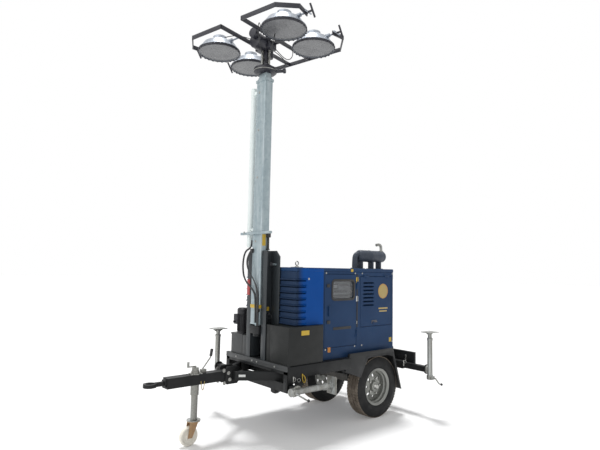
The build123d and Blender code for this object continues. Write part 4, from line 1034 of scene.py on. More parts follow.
# The cable loops' points are given one by one. Drums are rows of start, end, radius, sides and bevel.
headDetail = {"tubeCircle": 0.052, "tube": 0.011, "cable": 0.0042,
              "motor": ((-0.235, -0.02, 0.05), (-0.180, -0.02, 0.05), 0.050, 28, 0.006),
              "brush": ((0.062, 0.0, 0.02), (0.062, 0.0, -0.120), 0.040, 28, 0.006),
              "gearbox": ((-0.06, -0.10, -0.06), (0.06, 0.10, 0.03), 0.010, 3),
              "knobStem": ((0.04, -0.118, 0.02), (0.07, -0.190, 0.02), 0.018, 20, 0.003),
              "knob": ((0.07, -0.190, 0.02), (0.078, -0.212, 0.02), 0.028, 20, 0.005),
              "flange": ((-0.075, -0.085, 0.058), (0.075, 0.085, 0.082), 0.004), "bezelRadius": 0.2225,
              "bezelDrop": 0.006, "clips": 28, "clipHalf": 0.009, "gripX": 0.246, "gripFrom": 0.700,
              "gripTo": 0.782, "gripHalf": 0.066, "gripLean": 52, "grip": 0.010,
              "loops": (((-0.02, -0.10, -0.02), (-0.12, -0.24, 0.02), (-0.24, -0.34, -0.05),
                         (-0.24, -0.30, -0.20), (-0.10, -0.14, -0.24), (-0.03, -0.04, -0.26)),
                        ((-0.10, -0.02, 0.03), (-0.20, -0.10, 0.076), (-0.30, -0.16, 0.06),
                         (-0.30, -0.16, -0.08), (-0.16, -0.08, -0.18), (-0.04, -0.03, -0.22)),
                        ((0.04, 0.02, -0.02), (0.10, -0.08, -0.10), (0.16, -0.16, -0.20),
                         (0.12, -0.14, -0.28), (0.04, -0.05, -0.26)),
                        ((0.02, 0.10, 0.02), (0.08, 0.18, 0.07), (0.16, 0.20, 0.07), (0.22, 0.17, 0.045),
                         (0.24, 0.146, 0.02)),
                        ((0.06, -0.06, -0.04), (0.18, -0.10, -0.14), (0.24, -0.15, -0.14),
                         (0.26, -0.17, -0.06), (0.26, -0.146, -0.02)),
                        ((-0.06, 0.10, 0.02), (-0.14, 0.20, 0.076), (-0.22, 0.32, 0.076),
                         (-0.25, 0.40, 0.06)),
                        ((-0.08, -0.08, 0.02), (-0.14, -0.20, 0.076), (-0.22, -0.32, 0.078),
                         (-0.25, -0.40, 0.06)))}


def raisedBy(row, z):
    # The same row of start and end, with both ends higher by z.
    start, end, *rest = row
    return (start[0], start[1], start[2] + z), (end[0], end[1], end[2] + z), *rest


def makeHeadGear(look, head):
    place, base = headPlace(head)
    circle, table, low = look["tubeCircle"], head["turnRadius"], -head["hubDrop"]
    tubes = [drum((x, y, base + 0.06), (x, y, -0.02), look["tube"], 20)
             for x, y in ((circle, 0), (0, circle), (-circle, 0), (0, -circle))]
    tubes.append(lathe([(table + 0.002, base + 0.024), (table + 0.004, base + 0.028),
                        (table + 0.002, base + 0.032),
                        (table - 0.004, base + 0.032), (table - 0.004, base + 0.024),
                        (table + 0.002, base + 0.024)]))
    gear = [drum(*raisedBy(look["motor"], low)), drum(*raisedBy(look["brush"], low)),
            block(*raisedBy(look["gearbox"], low)), drum(*raisedBy(look["knobStem"], base)),
            drum(*raisedBy(look["knob"], base)), block(*raisedBy(look["flange"], base))]
    loops = [wire(points, look["cable"], smooth=8) for points in look["loops"]]
    for parts, name, finish in ((tubes, "neckTubes", "partZinc"), (gear, "headGear", "headPaint"),
                                (loops, "headLoom", "hoseRubber")):
        piece = joined(parts)
        piece.data.transform(place)
        finishPiece(piece, name, finish, "lamp_head")


def makeBezel(look, name):
    # The ring that holds the glass, with its clips.
    radius, half = look["bezelRadius"], look["clipHalf"]
    ring = lathe([(radius, 0), (radius + 0.002, 0.004), (radius + 0.002, 0.016), (radius, 0.020),
                  (radius - 0.010, 0.021), (radius - 0.010, -0.004), (radius - 0.004, -0.004), (radius, 0)],
                 steps=72)
    clip = block((radius - 0.004, -half, -0.006), (radius + 0.0045, half, 0.014), 0.002)
    bezel = joined([ring] + turnedCopies(clip, look["clips"]))
    lamp, glass = middle("lamp_glass_" + name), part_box("lamp_glass_" + name)[0].z
    bezel.data.transform(Matrix.Translation((lamp.x, lamp.y, glass - look["bezelDrop"])))
    finishPiece(bezel, "lampBezel_" + name, "headPaint", "floodlight_" + name)


def makeGrip(look, head, name, end, side):
    # The T handle that locks a lamp's tilt.
    lean, rod = math.radians(look["gripLean"]), look["grip"]
    along, rise = look["gripHalf"] * math.cos(lean), look["gripHalf"] * math.sin(lean)
    y0, y1 = side * look["gripFrom"], side * look["gripTo"]
    grip = joined([drum((0, y0, 0), (0, y1, 0), rod, 20),
                   drum((-along, y1, rise), (along, y1, -rise), rod - 0.0005, 20, 0.002),
                   drum((0, y0 + side * 0.006, 0), (0, y0 + side * 0.018, 0), 2 * rod, 24)])
    grip.data.transform(headPlace(head)[0] @ Matrix.Translation((end * look["gripX"], 0, 0)))
    finishPiece(grip, "lampGrip_" + name, "headPaint", "floodlight_" + name)


makeHeadGear(headDetail, headLook)
for name, end, side in zip(corners, (-1, -1, 1, 1), (-1, 1, -1, 1)):
    makeBezel(headDetail, name)
    makeGrip(headDetail, headLook, name, end, side)
print("head detail made")


# Stabiliser jacks and their feet

# Each jack is drawn upright at its swing pin, leg end up, and then placed and turned.
jackLook = {"tube": 0.028, "leg": 0.0215, "bottom": -0.060, "top": 0.345, "legEnd": 0.405, "lip": 0.004,
            "slack": 0.0005, "gearRadius": 0.036, "gearLow": -0.105, "discRadius": 0.046, "discDeep": 0.021,
            "discOut": 0.007, "boltCircle": 0.030, "boltTurns": (0.5, 2.64, 3.64, 5.78), "boltRadius": 0.006,
            "boltHigh": 0.004, "crankZ": -0.084, "crankY": 0.071, "rod": 0.007, "knobY": 0.100, "stud": 0.005,
            "ball": 0.0145, "footLong": 0.083, "footWide": 0.065, "footThick": 0.008, "ribHigh": 0.030,
            "ribTop": 0.026, "ribHalf": 0.003}
# name, the pin's x, z and distance from the middle, side, turn about y, and the knob's x and z from the pin
jackTable = (("front_left", -0.319, 0.492, 0.632, -1, 90, (0.066, 0.028)),
             ("front_right", -0.319, 0.492, 0.790, 1, 0, (0.071, -0.112)),
             ("rear_left", 1.423, 0.508, 0.812, -1, 0, (0.069, -0.150)),
             ("rear_right", 1.423, 0.508, 0.812, 1, 0, (0.069, -0.150)))


def jackBody(look, knob):
    tube, low, high, lip = look["tube"], look["bottom"], look["top"], look["lip"]
    bore, wide, base = look["leg"] + look["slack"], look["gearRadius"], look["gearLow"]
    crankZ, crankY = look["crankZ"], look["crankY"]
    barrel = lathe([(0, base), (wide - 0.006, base), (wide, base + 0.007), (wide, low - lip),
                    (tube + 0.003, low + lip),
                    (tube, low + 2 * lip), (tube, high - 0.026), (tube + lip, high - 0.024),
                    (tube + lip, high - lip),
                    (tube, high), (bore, high), (bore, high - 0.01), (0, high - 0.01)])
    disc = drum((0, -tube - look["discOut"], 0), (0, -tube - look["discOut"] + look["discDeep"], 0),
                look["discRadius"], 36, 0.002)
    gear = block((-0.030, 0.004, low - 0.042), (0.030, 0.044, low - 0.006), 0.004)
    shaft = drum((0, crankY - 0.041, crankZ), (0, crankY + look["rod"], crankZ), look["rod"], 20)
    arm = drum((0, crankY, crankZ), (knob[0], crankY, knob[1]), look["rod"], 20)
    stud = drum((knob[0], crankY - look["stud"], knob[1]), (knob[0], look["knobY"], knob[1]), look["stud"],
                16)
    circle, face = look["boltCircle"], -tube - look["discOut"] + look["discDeep"]
    bolts = [hexBolt((circle * math.cos(turn), face, circle * math.sin(turn)), (0, 1, 0), look["boltRadius"],
                     look["boltHigh"]) for turn in look["boltTurns"]]
    return joined([barrel, disc, gear, shaft, arm, stud] + bolts)


def jackKnob(look, knob):
    ball = look["ball"]
    return lathe([(0, -ball), (0.008, -0.012), (ball, 0), (0.008, 0.012), (0, ball)],
                 (knob[0], look["knobY"], knob[1]), (0, 1, 0), 24)


def jackFoot(look):
    end, along, across, half = look["legEnd"], look["footLong"], look["footWide"], look["ribHalf"]
    leg = drum((0, 0, look["top"] - 0.02), (0, 0, end), look["leg"], 32)
    sole = block((-along, -across, end), (along, across, end + look["footThick"]), 0.003)
    collar = drum((0, 0, end - 0.016), (0, 0, end), look["leg"] + 0.007, 32, 0.002)
    low = end - look["ribHigh"]
    rib = sheetAcross([(-along + 0.012, end), (along - 0.012, end), (look["ribTop"], low),
                       (-look["ribTop"], low)],
                      -half, half)
    return joined([leg, sole, collar, rib])


def makeJack(look, name, x, z, y, side, turn, knob):
    place = (Matrix.Translation((x, side * y, z)) @ Matrix.Rotation(math.radians(turn), 4, "Y")
             @ Matrix.Scale(side, 4, (0, 1, 0)))
    jack, ball, foot = jackBody(look, knob), jackKnob(look, knob), jackFoot(look)
    for piece, title, finish, body in ((jack, "jackBody_", "partZinc", "jack_"),
                                       (ball, "jackKnob_", "blackPlastic", "jack_"),
                                       (foot, "jackFoot_", "partZinc", "jack_leg_")):
        piece.data.transform(place)
        if side < 0:
            piece.data.flip_normals()
        finishPiece(piece, title + name, finish, body + name)
    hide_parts("jack_" + name)
    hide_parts("jack_foot_" + name)


for row in jackTable:
    makeJack(jackLook, *row)
print("jacks made")


# Canopy side, muffler and control window

# Labels and plates are rows of x from and to, then z from and to.
sideLook = {"face": -0.456, "window": (0.415, 1.380, 0.1575, 0.094), "frame": 0.017, "corner": 0.030,
            "plate": 0.0016, "sink": 0.0005,
            "plates": (("yellowLabel", "chassis",
                        ((0.606, 0.640, 1.450, 1.512), (1.153, 1.193, 0.790, 0.838),
                         (0.526, 0.560, 1.568, 1.597))),
                       ("orangeLabel", "chassis", ((0.198, 0.237, 0.759, 0.808),)),
                       ("whiteLabel", "chassis",
                        ((0.608, 0.638, 1.256, 1.312), (0.618, 0.634, 1.020, 1.050))),
                       ("creamLabel", "service_door_left",
                        ((0.972, 1.125, 1.160, 1.176), (0.985, 1.112, 1.130, 1.144)))),
            "disc": (1.047, 1.358), "discRadius": 0.082, "discHigh": 0.0018, "rimFrom": 0.074, "rimTo": 0.078,
            "boxLabel": (-0.203, -0.104, 0.963, 1.007), "boxFace": -0.516, "sealFrom": 0.985, "sealTo": 1.540,
            "seal": (0.622, 0.632), "trim": (0.612, 0.617), "boltX": (0.165, 0.59, 0.70, 1.205),
            "boltZ": (0.79, 1.552), "panelBolt": (-0.068, 1.493)}
# x from and to, z from and to, from what height over the door to what height, and the bevel
doorFittings = ((0.172, 0.216, 1.408, 1.440, 0, 0.010, 0.003), (0.178, 0.224, 1.043, 1.076, 0, 0.010, 0.003),
                (0.270, 0.532, 0.976, 1.004, 0, 0.004, 0.002))
rearHandle = ((0.856, 0.940, 1.010, 1.044, 0, 0.004, 0.002),
              (0.880, 0.936, 1.020, 1.033, 0.004, 0.016, 0.003))


def roundedRing(x, z, halfX, halfZ, corner, y, steps=6):
    # The outline of a rectangle with round corners, upright across y.
    outline = []
    for cornerX, cornerZ, start in ((1, 1, 0), (-1, 1, 90), (-1, -1, 180), (1, -1, 270)):
        for step in range(steps + 1):
            turn = math.radians(start + 90 * step / steps)
            outline.append((x + cornerX * (halfX - corner) + corner * math.cos(turn), y,
                            z + cornerZ * (halfZ - corner) + corner * math.sin(turn)))
    return outline


def makeWindowFrame(look):
    x, z, halfX, halfZ = look["window"]
    face, wide, corner, overlap = look["face"], look["frame"], look["corner"], 0.006
    rim = plate(roundedRing(x, z, halfX + wide, halfZ + wide, corner + wide, face - 0.005), (0, 0.012, 0))
    hole = plate(roundedRing(x, z, halfX - overlap, halfZ - overlap, corner, face - 0.02), (0, 0.04, 0))
    cutAway(rim, [hole])
    roundEdges(rim, 0.002)
    finishPiece(rim, "windowFrame", "blackPlastic", "control_door")


panelLook = {"face": -0.381, "screen": (0.300, 0.392, 1.385, 1.440), "screenDeep": 0.008, "glassInset": 0.008,
             "rail": (0.300, 0.545, 1.315, 1.322), "count": 6, "dialX": 0.425, "dialZ": 1.425,
             "dialPitch": 0.024, "dialRadius": 0.008, "dialHigh": 0.010, "tagX": 0.305, "tagLong": 0.026,
             "tagZ": (1.334, 1.342), "pitch": 0.040, "switchX": 0.311, "switchLong": 0.014,
             "switchZ": (1.350, 1.372), "switchHigh": 0.014, "lineX": (0.425, 0.490), "lineZ": 1.385,
             "lines": 3, "linePitch": 0.009, "lineHigh": 0.004, "shorter": 0.012}


def makeInstruments(look):
    # Blank instruments behind the window: a screen, dials, switches with tags, and a few lines.
    y = look["face"]
    x0, x1, z0, z1 = look["screen"]
    railX0, railX1, railZ0, railZ1 = look["rail"]
    inset, deep = look["glassInset"], look["screenDeep"]
    dark = [block((x0, y - deep, z0), (x1, y, z1), 0.002),
            block((railX0, y - 0.006, railZ0), (railX1, y, railZ1), 0.001)]
    light = []
    for step in range(look["count"]):
        dial, tag, switch = (look["dialX"] + look["dialPitch"] * step, look["tagX"] + look["pitch"] * step,
                             look["switchX"] + look["pitch"] * step)
        dark.append(drum((dial, y, look["dialZ"]), (dial, y - look["dialHigh"], look["dialZ"]),
                         look["dialRadius"], 20))
        light.append(block((tag, y - 0.003, look["tagZ"][0]), (tag + look["tagLong"], y, look["tagZ"][1]),
                           0.0008))
        dark.append(block((switch, y - look["switchHigh"], look["switchZ"][0]),
                          (switch + look["switchLong"], y, look["switchZ"][1]), 0.002))
    light.append(block((x0 + inset, y - deep - 0.001, z0 + 0.011),
                       (x1 - inset, y - deep + 0.0005, z1 - 0.010), 0.0008))
    for step in range(look["lines"]):
        z = look["lineZ"] + look["linePitch"] * step
        light.append(block((look["lineX"][0], y - 0.003, z),
                           (look["lineX"][1] - look["shorter"] * step, y, z + look["lineHigh"]), 0.0006))
    finishPiece(dark, "panelSwitches", "blackPlastic", "chassis")
    finishPiece(light, "panelPlates", "whiteLabel", "chassis")


def thinPlate(row, face, look):
    x0, x1, z0, z1 = row
    return block((x0, face - look["plate"], z0), (x1, face + look["sink"], z1), 0.0005, 1)


def raised(rows, face):
    return [block((x0, face - high, z0), (x1, face - low, z1), bevel) for x0, x1, z0, z1, low, high,
            bevel in rows]


def makeSidePlates(look):
    face = look["face"]
    for finish, body, rows in look["plates"]:
        finishPiece([thinPlate(row, face, look) for row in rows], "sidePlates_" + finish, finish, body)
    finishPiece(thinPlate(look["boxLabel"], look["boxFace"], look), "baseBoxLabel", "yellowLabel", "chassis")
    (x, z), high = look["disc"], look["discHigh"]
    disc = drum((x, face + look["sink"], z), (x, face - high, z), look["discRadius"], 48, 0.0006)
    finishPiece(disc, "blankDisc", "creamLabel", "service_door_left")
    inner, outer, low, top = look["rimFrom"], look["rimTo"], high - 0.0002, high + 0.0008
    ring = lathe([(inner, low), (outer, low), (outer, top), (inner, top), (inner, low)], (x, face, z),
                 (0, -1, 0), 48)
    finishPiece(ring, "blankDiscRim", "orangeLabel", "service_door_left")
    strips = [block((x0, face - high, look["sealFrom"]), (x1, face + 0.001, look["sealTo"]), bevel, segments)
              for (x0, x1), high, bevel,
              segments in ((look["seal"], 0.003, 0.001, 2), (look["trim"], 0.0012, 0.0005, 1))]
    finishPiece(strips, "pillarSeal", "blackPlastic", "chassis")
    finishPiece(raised(doorFittings, face), "doorFittings", "blackPlastic", "control_door")
    finishPiece(raised(rearHandle, face), "rearDoorHandle", "darkSteel", "service_door_left")
    x, z = look["panelBolt"]
    bolts = [hexBolt((x, face, z), (0, -1, 0), 0.007, 0.004)]
    bolts += [hexBolt((x, face, z), (0, -1, 0), 0.006, 0.003) for x in look["boltX"] for z in look["boltZ"]]
    finishPiece(bolts, "canopyBolts", "boltSteel", "chassis")


mufflerLook = {"x0": 0.800, "x1": 1.236, "y": -0.290, "z": 1.748, "radius": 0.066, "roof": 1.604,
               "bandAt": 0.42, "pipeX": 0.757, "pipe": 0.030, "flange": 0.046, "legs": (0.835, 1.015, 1.146),
               "legLong": 0.026, "legHalf": 0.034, "padHalf": 0.048, "tailX": 1.206, "tail": 0.0165,
               "collar": 0.026,
               "tailRun": ((0, 0.050), (0, 0.100), (-0.006, 0.130), (-0.041, 0.144), (-0.084, 0.134))}


def makeMuffler(look):
    y, z, radius, long, roof = look["y"], look["z"], look["radius"], look["x1"] - look["x0"], look["roof"]
    band, pipe = long * look["bandAt"], look["pipeX"]
    body = lathe([(0, 0), (radius * 0.55, 0.003), (radius * 0.85, 0.014), (radius, 0.034), (radius, band),
                  (radius + 0.003, band + 0.004), (radius + 0.003, band + 0.010), (radius, band + 0.014),
                  (radius, long - 0.024), (radius * 0.9, long - 0.010), (radius * 0.55, long - 0.002),
                  (0, long)],
                 (look["x0"], y, z), (1, 0, 0))
    elbow = wire([(look["x0"] + 0.07, y, z + 0.012), (look["x0"] + 0.01, y, z + 0.020),
                  (pipe + 0.011, y, z + 0.004),
                  (pipe, y, z - 0.060), (pipe, y, roof)], look["pipe"], sides=6, smooth=10)
    half, wide = look["legHalf"], look["padHalf"]
    legs = [block((x, y - half, roof), (x + look["legLong"], y + half, z - 0.045), 0.003)
            for x in look["legs"]]
    flange = drum((pipe, y, roof), (pipe, y, roof + 0.008), look["flange"], 32, 0.002)
    pads = [block((x - 0.014, y - wide, roof), (x + look["legLong"] + 0.014, y + wide, roof + 0.005), 0.001)
            for x in look["legs"]]
    muffler = finishPiece([body, elbow, flange] + legs + pads, "mufflerBody", "exhaustPaint", "chassis")
    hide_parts("muffler")
    x = look["tailX"]
    tail = wire([(x + ahead, y, z + rise) for ahead, rise in look["tailRun"]], look["tail"], sides=5,
                smooth=10)
    collar = drum((x, y, z + 0.058), (x, y, z + 0.070), look["collar"], 28, 0.002)
    finishPiece([tail, collar], "tailPipe", "partZinc", "chassis")


makeWindowFrame(sideLook)
makeInstruments(panelLook)
makeSidePlates(sideLook)
makeMuffler(mufflerLook)
print("canopy side and muffler made")


# Handbrake, pins, tags and road lamps

brakeLook = {"foot": (-0.960, 0.646), "elbow": (-0.871, 0.754), "top": (-0.859, 0.826), "barTop": 0.622,
             "rod": 0.0065, "pin": 0.008, "half": 0.014, "bracketHigh": 0.034}


def makeBrake(look):
    (footX, footZ), (elbowX, elbowZ), (topX, topZ) = look["foot"], look["elbow"], look["top"]
    half, base, pinZ = look["half"], look["barTop"], footZ + 0.004
    bracket = block((footX - 0.010, -half, base), (footX + 0.045, half, base + look["bracketHigh"]), 0.003)
    pin = drum((footX, -half - 0.006, pinZ), (footX, half + 0.006, pinZ), look["pin"], 20)
    rod = wire([(footX, 0, footZ), (elbowX - 0.02, 0, elbowZ - 0.024), (elbowX, 0, elbowZ),
                (elbowX + 0.004, 0, elbowZ + 0.02), (topX, 0, topZ)], look["rod"], smooth=8)
    brake = finishPiece([bracket, pin, rod], "brakeLever", "partZinc", "chassis")
    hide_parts("handbrake")
    grip = lathe([(0, 0), (0.011, 0), (0.014, 0.006), (0.013, 0.030), (0.014, 0.056), (0.012, 0.066),
                  (0, 0.068)],
                 (elbowX + 0.003, 0, elbowZ + 0.012), (topX - elbowX, 0, topZ - elbowZ))
    finishPiece(grip, "brakeGrip", "blackPlastic", "chassis")


# The tag's and the loop's points are given one by one.
fittingLook = {"rings": (((-0.300, -0.534, 0.575), (1, 0.3, 0), 0.020),
                         ((-0.235, -0.530, 0.560), (0.4, 1, 0), 0.016),
                         ((1.385, -0.498, 0.548), (1, 0.3, 0), 0.018)),
               "ringThick": 0.002,
               "pins": (((-0.300, -0.528, 0.600), (-0.300, -0.528, 0.548)),
                        ((1.385, -0.484, 0.565), (1.385, -0.484, 0.500))),
               "pinRadius": 0.006, "dotX": 1.473, "dotY": -0.445, "dotZ": (0.555, 0.572, 0.589, 0.606),
               "tag": ((-0.196, -0.530, 0.612), (-0.170, -0.536, 0.590), (-0.160, -0.538, 0.556),
                       (-0.172, -0.536, 0.526), (-0.192, -0.532, 0.545), (-0.196, -0.530, 0.612)),
               "tagThick": 0.0035,
               "loop": ((-0.986, -0.046, 0.560), (-0.984, -0.050, 0.520), (-0.972, -0.052, 0.474),
                        (-0.956, -0.050, 0.500), (-0.950, -0.046, 0.556)),
               "loopThick": 0.0032, "foot": ((-0.358, -0.330, 0.420), (-0.300, -0.260, 0.453)),
               "sole": ((-0.350, -0.320, 0.412), (-0.308, -0.270, 0.421)), "sign": (-0.606, -0.1395, 0.577),
               "signHalf": (0.032, 0.011), "signRun": (0.41, -0.2975), "lampRear": 1.5065, "lampDeep": 0.0125,
               "lampZ": 0.586,
               "lamps": (("roadLampRed_", "redLens", 0.50, 0.036),
                         ("roadLampAmber_", "amberLens", 0.40, 0.032))}


def makeSmallFittings(look):
    pins = [ringWire(place, across, radius, look["ringThick"]) for place, across, radius in look["rings"]]
    pins += [drum(top, bottom, look["pinRadius"], 16) for top, bottom in look["pins"]]
    pins += [hexBolt((look["dotX"], look["dotY"], z), (-1, 0, 0), 0.007, 0.004) for z in look["dotZ"]]
    finishPiece(pins, "lockPins", "boltSteel", "chassis")
    finishPiece(wire(look["tag"], look["tagThick"]), "pinTag", "yellowLabel", "chassis")
    finishPiece(wire(look["loop"], look["loopThick"]), "drawbarLoop", "creamLabel", "chassis")
    foot = [block(*look["foot"], 0.003), block(*look["sole"], 0.002)]
    finishPiece(foot, "frameFoot", "blackPaint", "chassis")
    halfLong, halfHigh = look["signHalf"]
    sign = block((-halfLong, -0.0018, -halfHigh), (halfLong, 0.0005, halfHigh), 0.0005, 1)
    turn = math.atan2(look["signRun"][1], look["signRun"][0])
    sign.data.transform(Matrix.Translation(look["sign"]) @ Matrix.Rotation(turn, 4, "Z"))
    finishPiece(sign, "yokePlate", "whiteLabel", "chassis")
    rear, z = look["lampRear"], look["lampZ"]
    for side, title in ((-1, "left"), (1, "right")):
        for name, finish, y, radius in look["lamps"]:
            lens = drum((rear - look["lampDeep"], side * y, z), (rear, side * y, z), radius, 36, 0.003)
            finishPiece(lens, name + title, finish, "chassis")


makeBrake(brakeLook)
makeSmallFittings(fittingLook)
print("small fittings made")


# Drawbar and deck

barLook = {"face": 0.057, "boltRadius": 0.012,
           "yokeBolts": ((0.034, 0.628), (0.085, 0.600), (0.100, 0.540), (0.040, 0.512)),
           "deckBolts": (-0.33, -0.04, 0.04, 0.33), "deckDrop": 0.024, "clampX": 0.045, "clampY": 0.03,
           "bandHigh": 0.046, "bandThick": 0.0035, "stripDeep": 0.03, "stripHigh": 0.003}


def makeBarDetail(look):
    yokeFront, barTop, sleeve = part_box("drawbar_yoke")[0].x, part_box("drawbar")[1].z, middle("jockey_sleeve")
    deckLow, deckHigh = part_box("front_deck")
    parts = [hexBolt((yokeFront + x, side * look["face"], z), (0, side, 0), look["boltRadius"])
             for side in (-1, 1) for x, z in look["yokeBolts"]]
    parts += [hexBolt((deckLow.x, y, deckHigh.z - look["deckDrop"]), (-1, 0, 0), 0.009, 0.006)
              for y in look["deckBolts"]]
    parts += [hexBolt((sleeve.x + x, y, barTop), (0, 0, 1), 0.008, 0.006)
              for y in (-look["clampY"], look["clampY"]) for x in (-look["clampX"], look["clampX"])]
    finishPiece(parts, "barBolts", "boltSteel", "chassis")
    front = deckLow.x - look["bandThick"]
    band = block((front, deckLow.y, deckHigh.z - look["bandHigh"]), (deckLow.x, deckHigh.y, deckHigh.z),
                 0.001)
    strip = block((front, deckLow.y, deckHigh.z),
                  (deckLow.x + look["stripDeep"], deckHigh.y, deckHigh.z + look["stripHigh"]), 0.001)
    finishPiece([band, strip], "deckBand", "greyPaint", "chassis")


makeBarDetail(barLook)
print("drawbar and deck detail made")


# Mast and posts

mastLook = {"section": 0.0055, "half": 0.076, "bolts": (3.42, 3.02, 2.52, 1.86), "boltY": 0.022,
            "plateBolts": (1.94, 1.956), "plateBoltY": 0.19, "strapZ": 1.19, "strapHigh": 0.034,
            "strapThick": 0.003, "strapBack": 0.1, "labelZ": 1.93, "labelHigh": 0.115,
            "labelX": (0.014, 0.056), "hoseRadius": 0.0062, "hoses": ((0.024, 0.0), (0.040, 0.012)),
            "hoseRun": ((-0.010, 0, -0.030, 1.02), (-0.010, 0, -0.030, 1.20), (-0.012, 0, -0.020, 1.36),
                        (-0.014, -1, 0.030, 1.47), (-0.040, -1, 0.105, 1.56), (-0.044, 0, 0.135, 1.66),
                        (-0.020, 0, 0.124, 1.74), (-0.010, 0, 0.100, 1.770)),
            "clips": (((-0.024, -0.084, 1.155), (0.001, -0.052, 1.185)),
                      ((-0.020, 0.046, 1.745), (0.001, 0.084, 1.785))),
            "shoe": 0.004, "shoeHigh": 0.075, "footX": 0.040, "footRadius": 0.044, "footDeep": 0.030,
            "latch": ((0.060, 1.900), (0.100, 1.945)), "latchOut": 0.030, "rodX": 0.080, "rodOut": 0.014,
            "rodZ": (1.785, 1.905), "rodTip": 1.772}


def makeMastDetail(look):
    low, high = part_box("mast_outer")
    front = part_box("mast_section_2")[0].x - look["section"]
    half, thick = look["half"], look["strapThick"]
    bolts = [hexBolt((front + 0.002, look["boltY"], z), (-1, 0, 0), 0.009, 0.007) for z in look["bolts"]]
    bolts += [hexBolt((front - 0.026, look["plateBoltY"], z), (-1, 0, 0), 0.007, 0.005)
              for z in look["plateBolts"]]
    finishPiece(bolts, "mastBolts", "boltSteel", "mast")
    z0, z1 = look["strapZ"], look["strapZ"] + look["strapHigh"]
    strapFront, strapBack = front - thick - 0.0005, front + look["strapBack"]
    strap = [block((strapFront, -half - thick, z0), (front, half + thick, z1), 0.001),
             block((strapFront, -half - thick, z0), (strapBack, -half, z1), 0.001),
             block((strapFront, half, z0), (strapBack, half + thick, z1), 0.001)]
    finishPiece(strap, "mastStrap", "yellowLabel", "mast")
    label = block((front + look["labelX"][0], -half - 0.0015, look["labelZ"] - look["labelHigh"]),
                  (front + look["labelX"][1], -half + 0.001, look["labelZ"]), 0.0004, 1)
    finishPiece(label, "mastLabel", "yellowLabel", "mast")
    lines = [wire([(front + ahead + swell * bulge, y - shift, z) for ahead, swell, y, z in look["hoseRun"]],
                  look["hoseRadius"], smooth=8) for shift, bulge in look["hoses"]]
    finishPiece(lines, "mastHoses", "hoseRubber", "mast")
    shift = Vector((front, 0, 0))
    clips = [block(shift + Vector(start), shift + Vector(end), 0.002) for start, end in look["clips"]]
    finishPiece(clips, "hoseClips", "blackPlastic", "mast")
    (x0, latchZ0), (x1, latchZ1) = look["latch"]
    rodX, rodY, (rodLow, rodHigh) = front + look["rodX"], -half - look["rodOut"], look["rodZ"]
    latch = [block((front + x0, -half - look["latchOut"], latchZ0), (front + x1, -half, latchZ1), 0.003),
             drum((rodX, rodY, rodLow), (rodX, rodY, rodHigh), 0.010, 20),
             drum((rodX, rodY, rodLow), (rodX, rodY, look["rodTip"]), 0.016, 20)]
    finishPiece(latch, "mastLatch", "blackPlastic", "mast")
    shoe, footX = look["shoe"], front + look["footX"]
    foot = [block((front - 0.005, -half - shoe, low.z - shoe),
                  (high.x + 0.002, half + shoe, low.z + look["shoeHigh"]), 0.003),
            drum((footX, 0, low.z - look["footDeep"]), (footX, 0, low.z), look["footRadius"], 32)]
    finishPiece(foot, "mastFootRing", "blackPaint", "mast")


postLook = {"face": 0.093, "pinRadius": 0.024, "pinHigh": 0.012, "endRadius": 0.014, "endHigh": 0.03,
            "boltX": (0.045, 0.085), "boltZ": (0.74, 0.80), "lockX": -0.292, "lockZ": 1.138,
            "lockLong": 0.034, "lockRadius": 0.010, "rings": ((0, -0.128), (0.115, -0.150)),
            "ringDrop": 0.022, "ringRadius": 0.021, "ringThick": 0.0022,
            "label": (-0.022, 0.018, 1.166, 1.204), "flagY": (0.118, 0.166), "flagZ": (1.312, 1.472),
            "flagThick": 0.006}


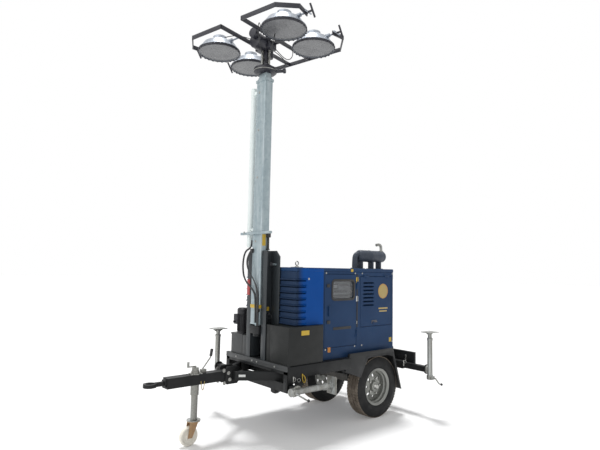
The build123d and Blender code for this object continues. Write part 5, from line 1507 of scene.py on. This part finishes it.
def makePostDetail(look):
    front, lockX, lockZ = frontLook["postFront"], look["lockX"], look["lockZ"]
    pinX, pinZ = jointPlace("mast_tilt")[0], jointPlace("mast_tilt")[2]
    parts = []
    for side in (-1, 1):
        face = side * look["face"]
        seat = face + side * look["pinHigh"]
        parts.append(drum((pinX, face, pinZ), (pinX, seat, pinZ), look["pinRadius"], 28))
        parts.append(drum((pinX, seat, pinZ), (pinX, face + side * look["endHigh"], pinZ), look["endRadius"],
                          20))
        parts += [hexBolt((front + x, face, z), (0, side, 0), 0.010, 0.007) for z in look["boltZ"]
                  for x in look["boltX"]]
        parts.append(drum((lockX, face, lockZ), (lockX, face + side * look["lockLong"], lockZ),
                          look["lockRadius"], 20))
    parts += [ringWire((lockX + ahead, y, lockZ - look["ringDrop"]), (1, 0.4, 0), look["ringRadius"],
                       look["ringThick"])
              for ahead, y in look["rings"]]
    finishPiece(parts, "postPins", "darkSteel", "chassis")
    x0, x1, z0, z1 = look["label"]
    label = block((lockX + x0, -look["face"] - 0.0015, z0), (lockX + x1, -look["face"] + 0.0002, z1), 0.0004,
                  1)
    finishPiece(label, "postLabel", "yellowLabel", "chassis")
    (y0, y1), (flagLow, flagHigh) = look["flagY"], look["flagZ"]
    flag = block((front - look["flagThick"], y0, flagLow), (front - 0.0002, y1, flagHigh), 0.002)
    finishPiece(flag, "postFlag", "redPaint", "chassis")


makeMastDetail(mastLook)
makePostDetail(postLook)
print("mast and post detail made")


# The lamp cable, from the tube beside the mast down to the mast's foot; its points are given one by one

cableLook = {"radius": 0.009, "length": 0.943, "section": 0.0055, "tubeBehind": 0.034, "gap": 0.001,
             "drop": (0.070, -0.006),
             "spots": ((-0.010, 0.180, 1.762), (-0.020, 0.200, 1.610), (-0.020, 0.160, 1.464),
                       (-0.006, 0.016, 1.372), (0.0, -0.024, 1.290), (0.0, -0.024, 1.046))}


def makeLampCable(look):
    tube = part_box("cable_tube")
    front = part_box("mast_section_2")[0].x - look["section"]
    along = front - look["radius"] - look["gap"]
    points = [(front + look["tubeBehind"], (tube[0].y + tube[1].y) / 2, tube[0].z + rise)
              for rise in look["drop"]]
    points += [(along + ahead, y, z) for ahead, y, z in look["spots"]]
    curve = curveThrough(points, look["radius"], 4, 12)
    curve.name = "lampCable"
    curve.data.materials.append(finishes["hoseRubber"])
    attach(curve, "mast")


makeLampCable(cableLook)
print("lamp cable made")
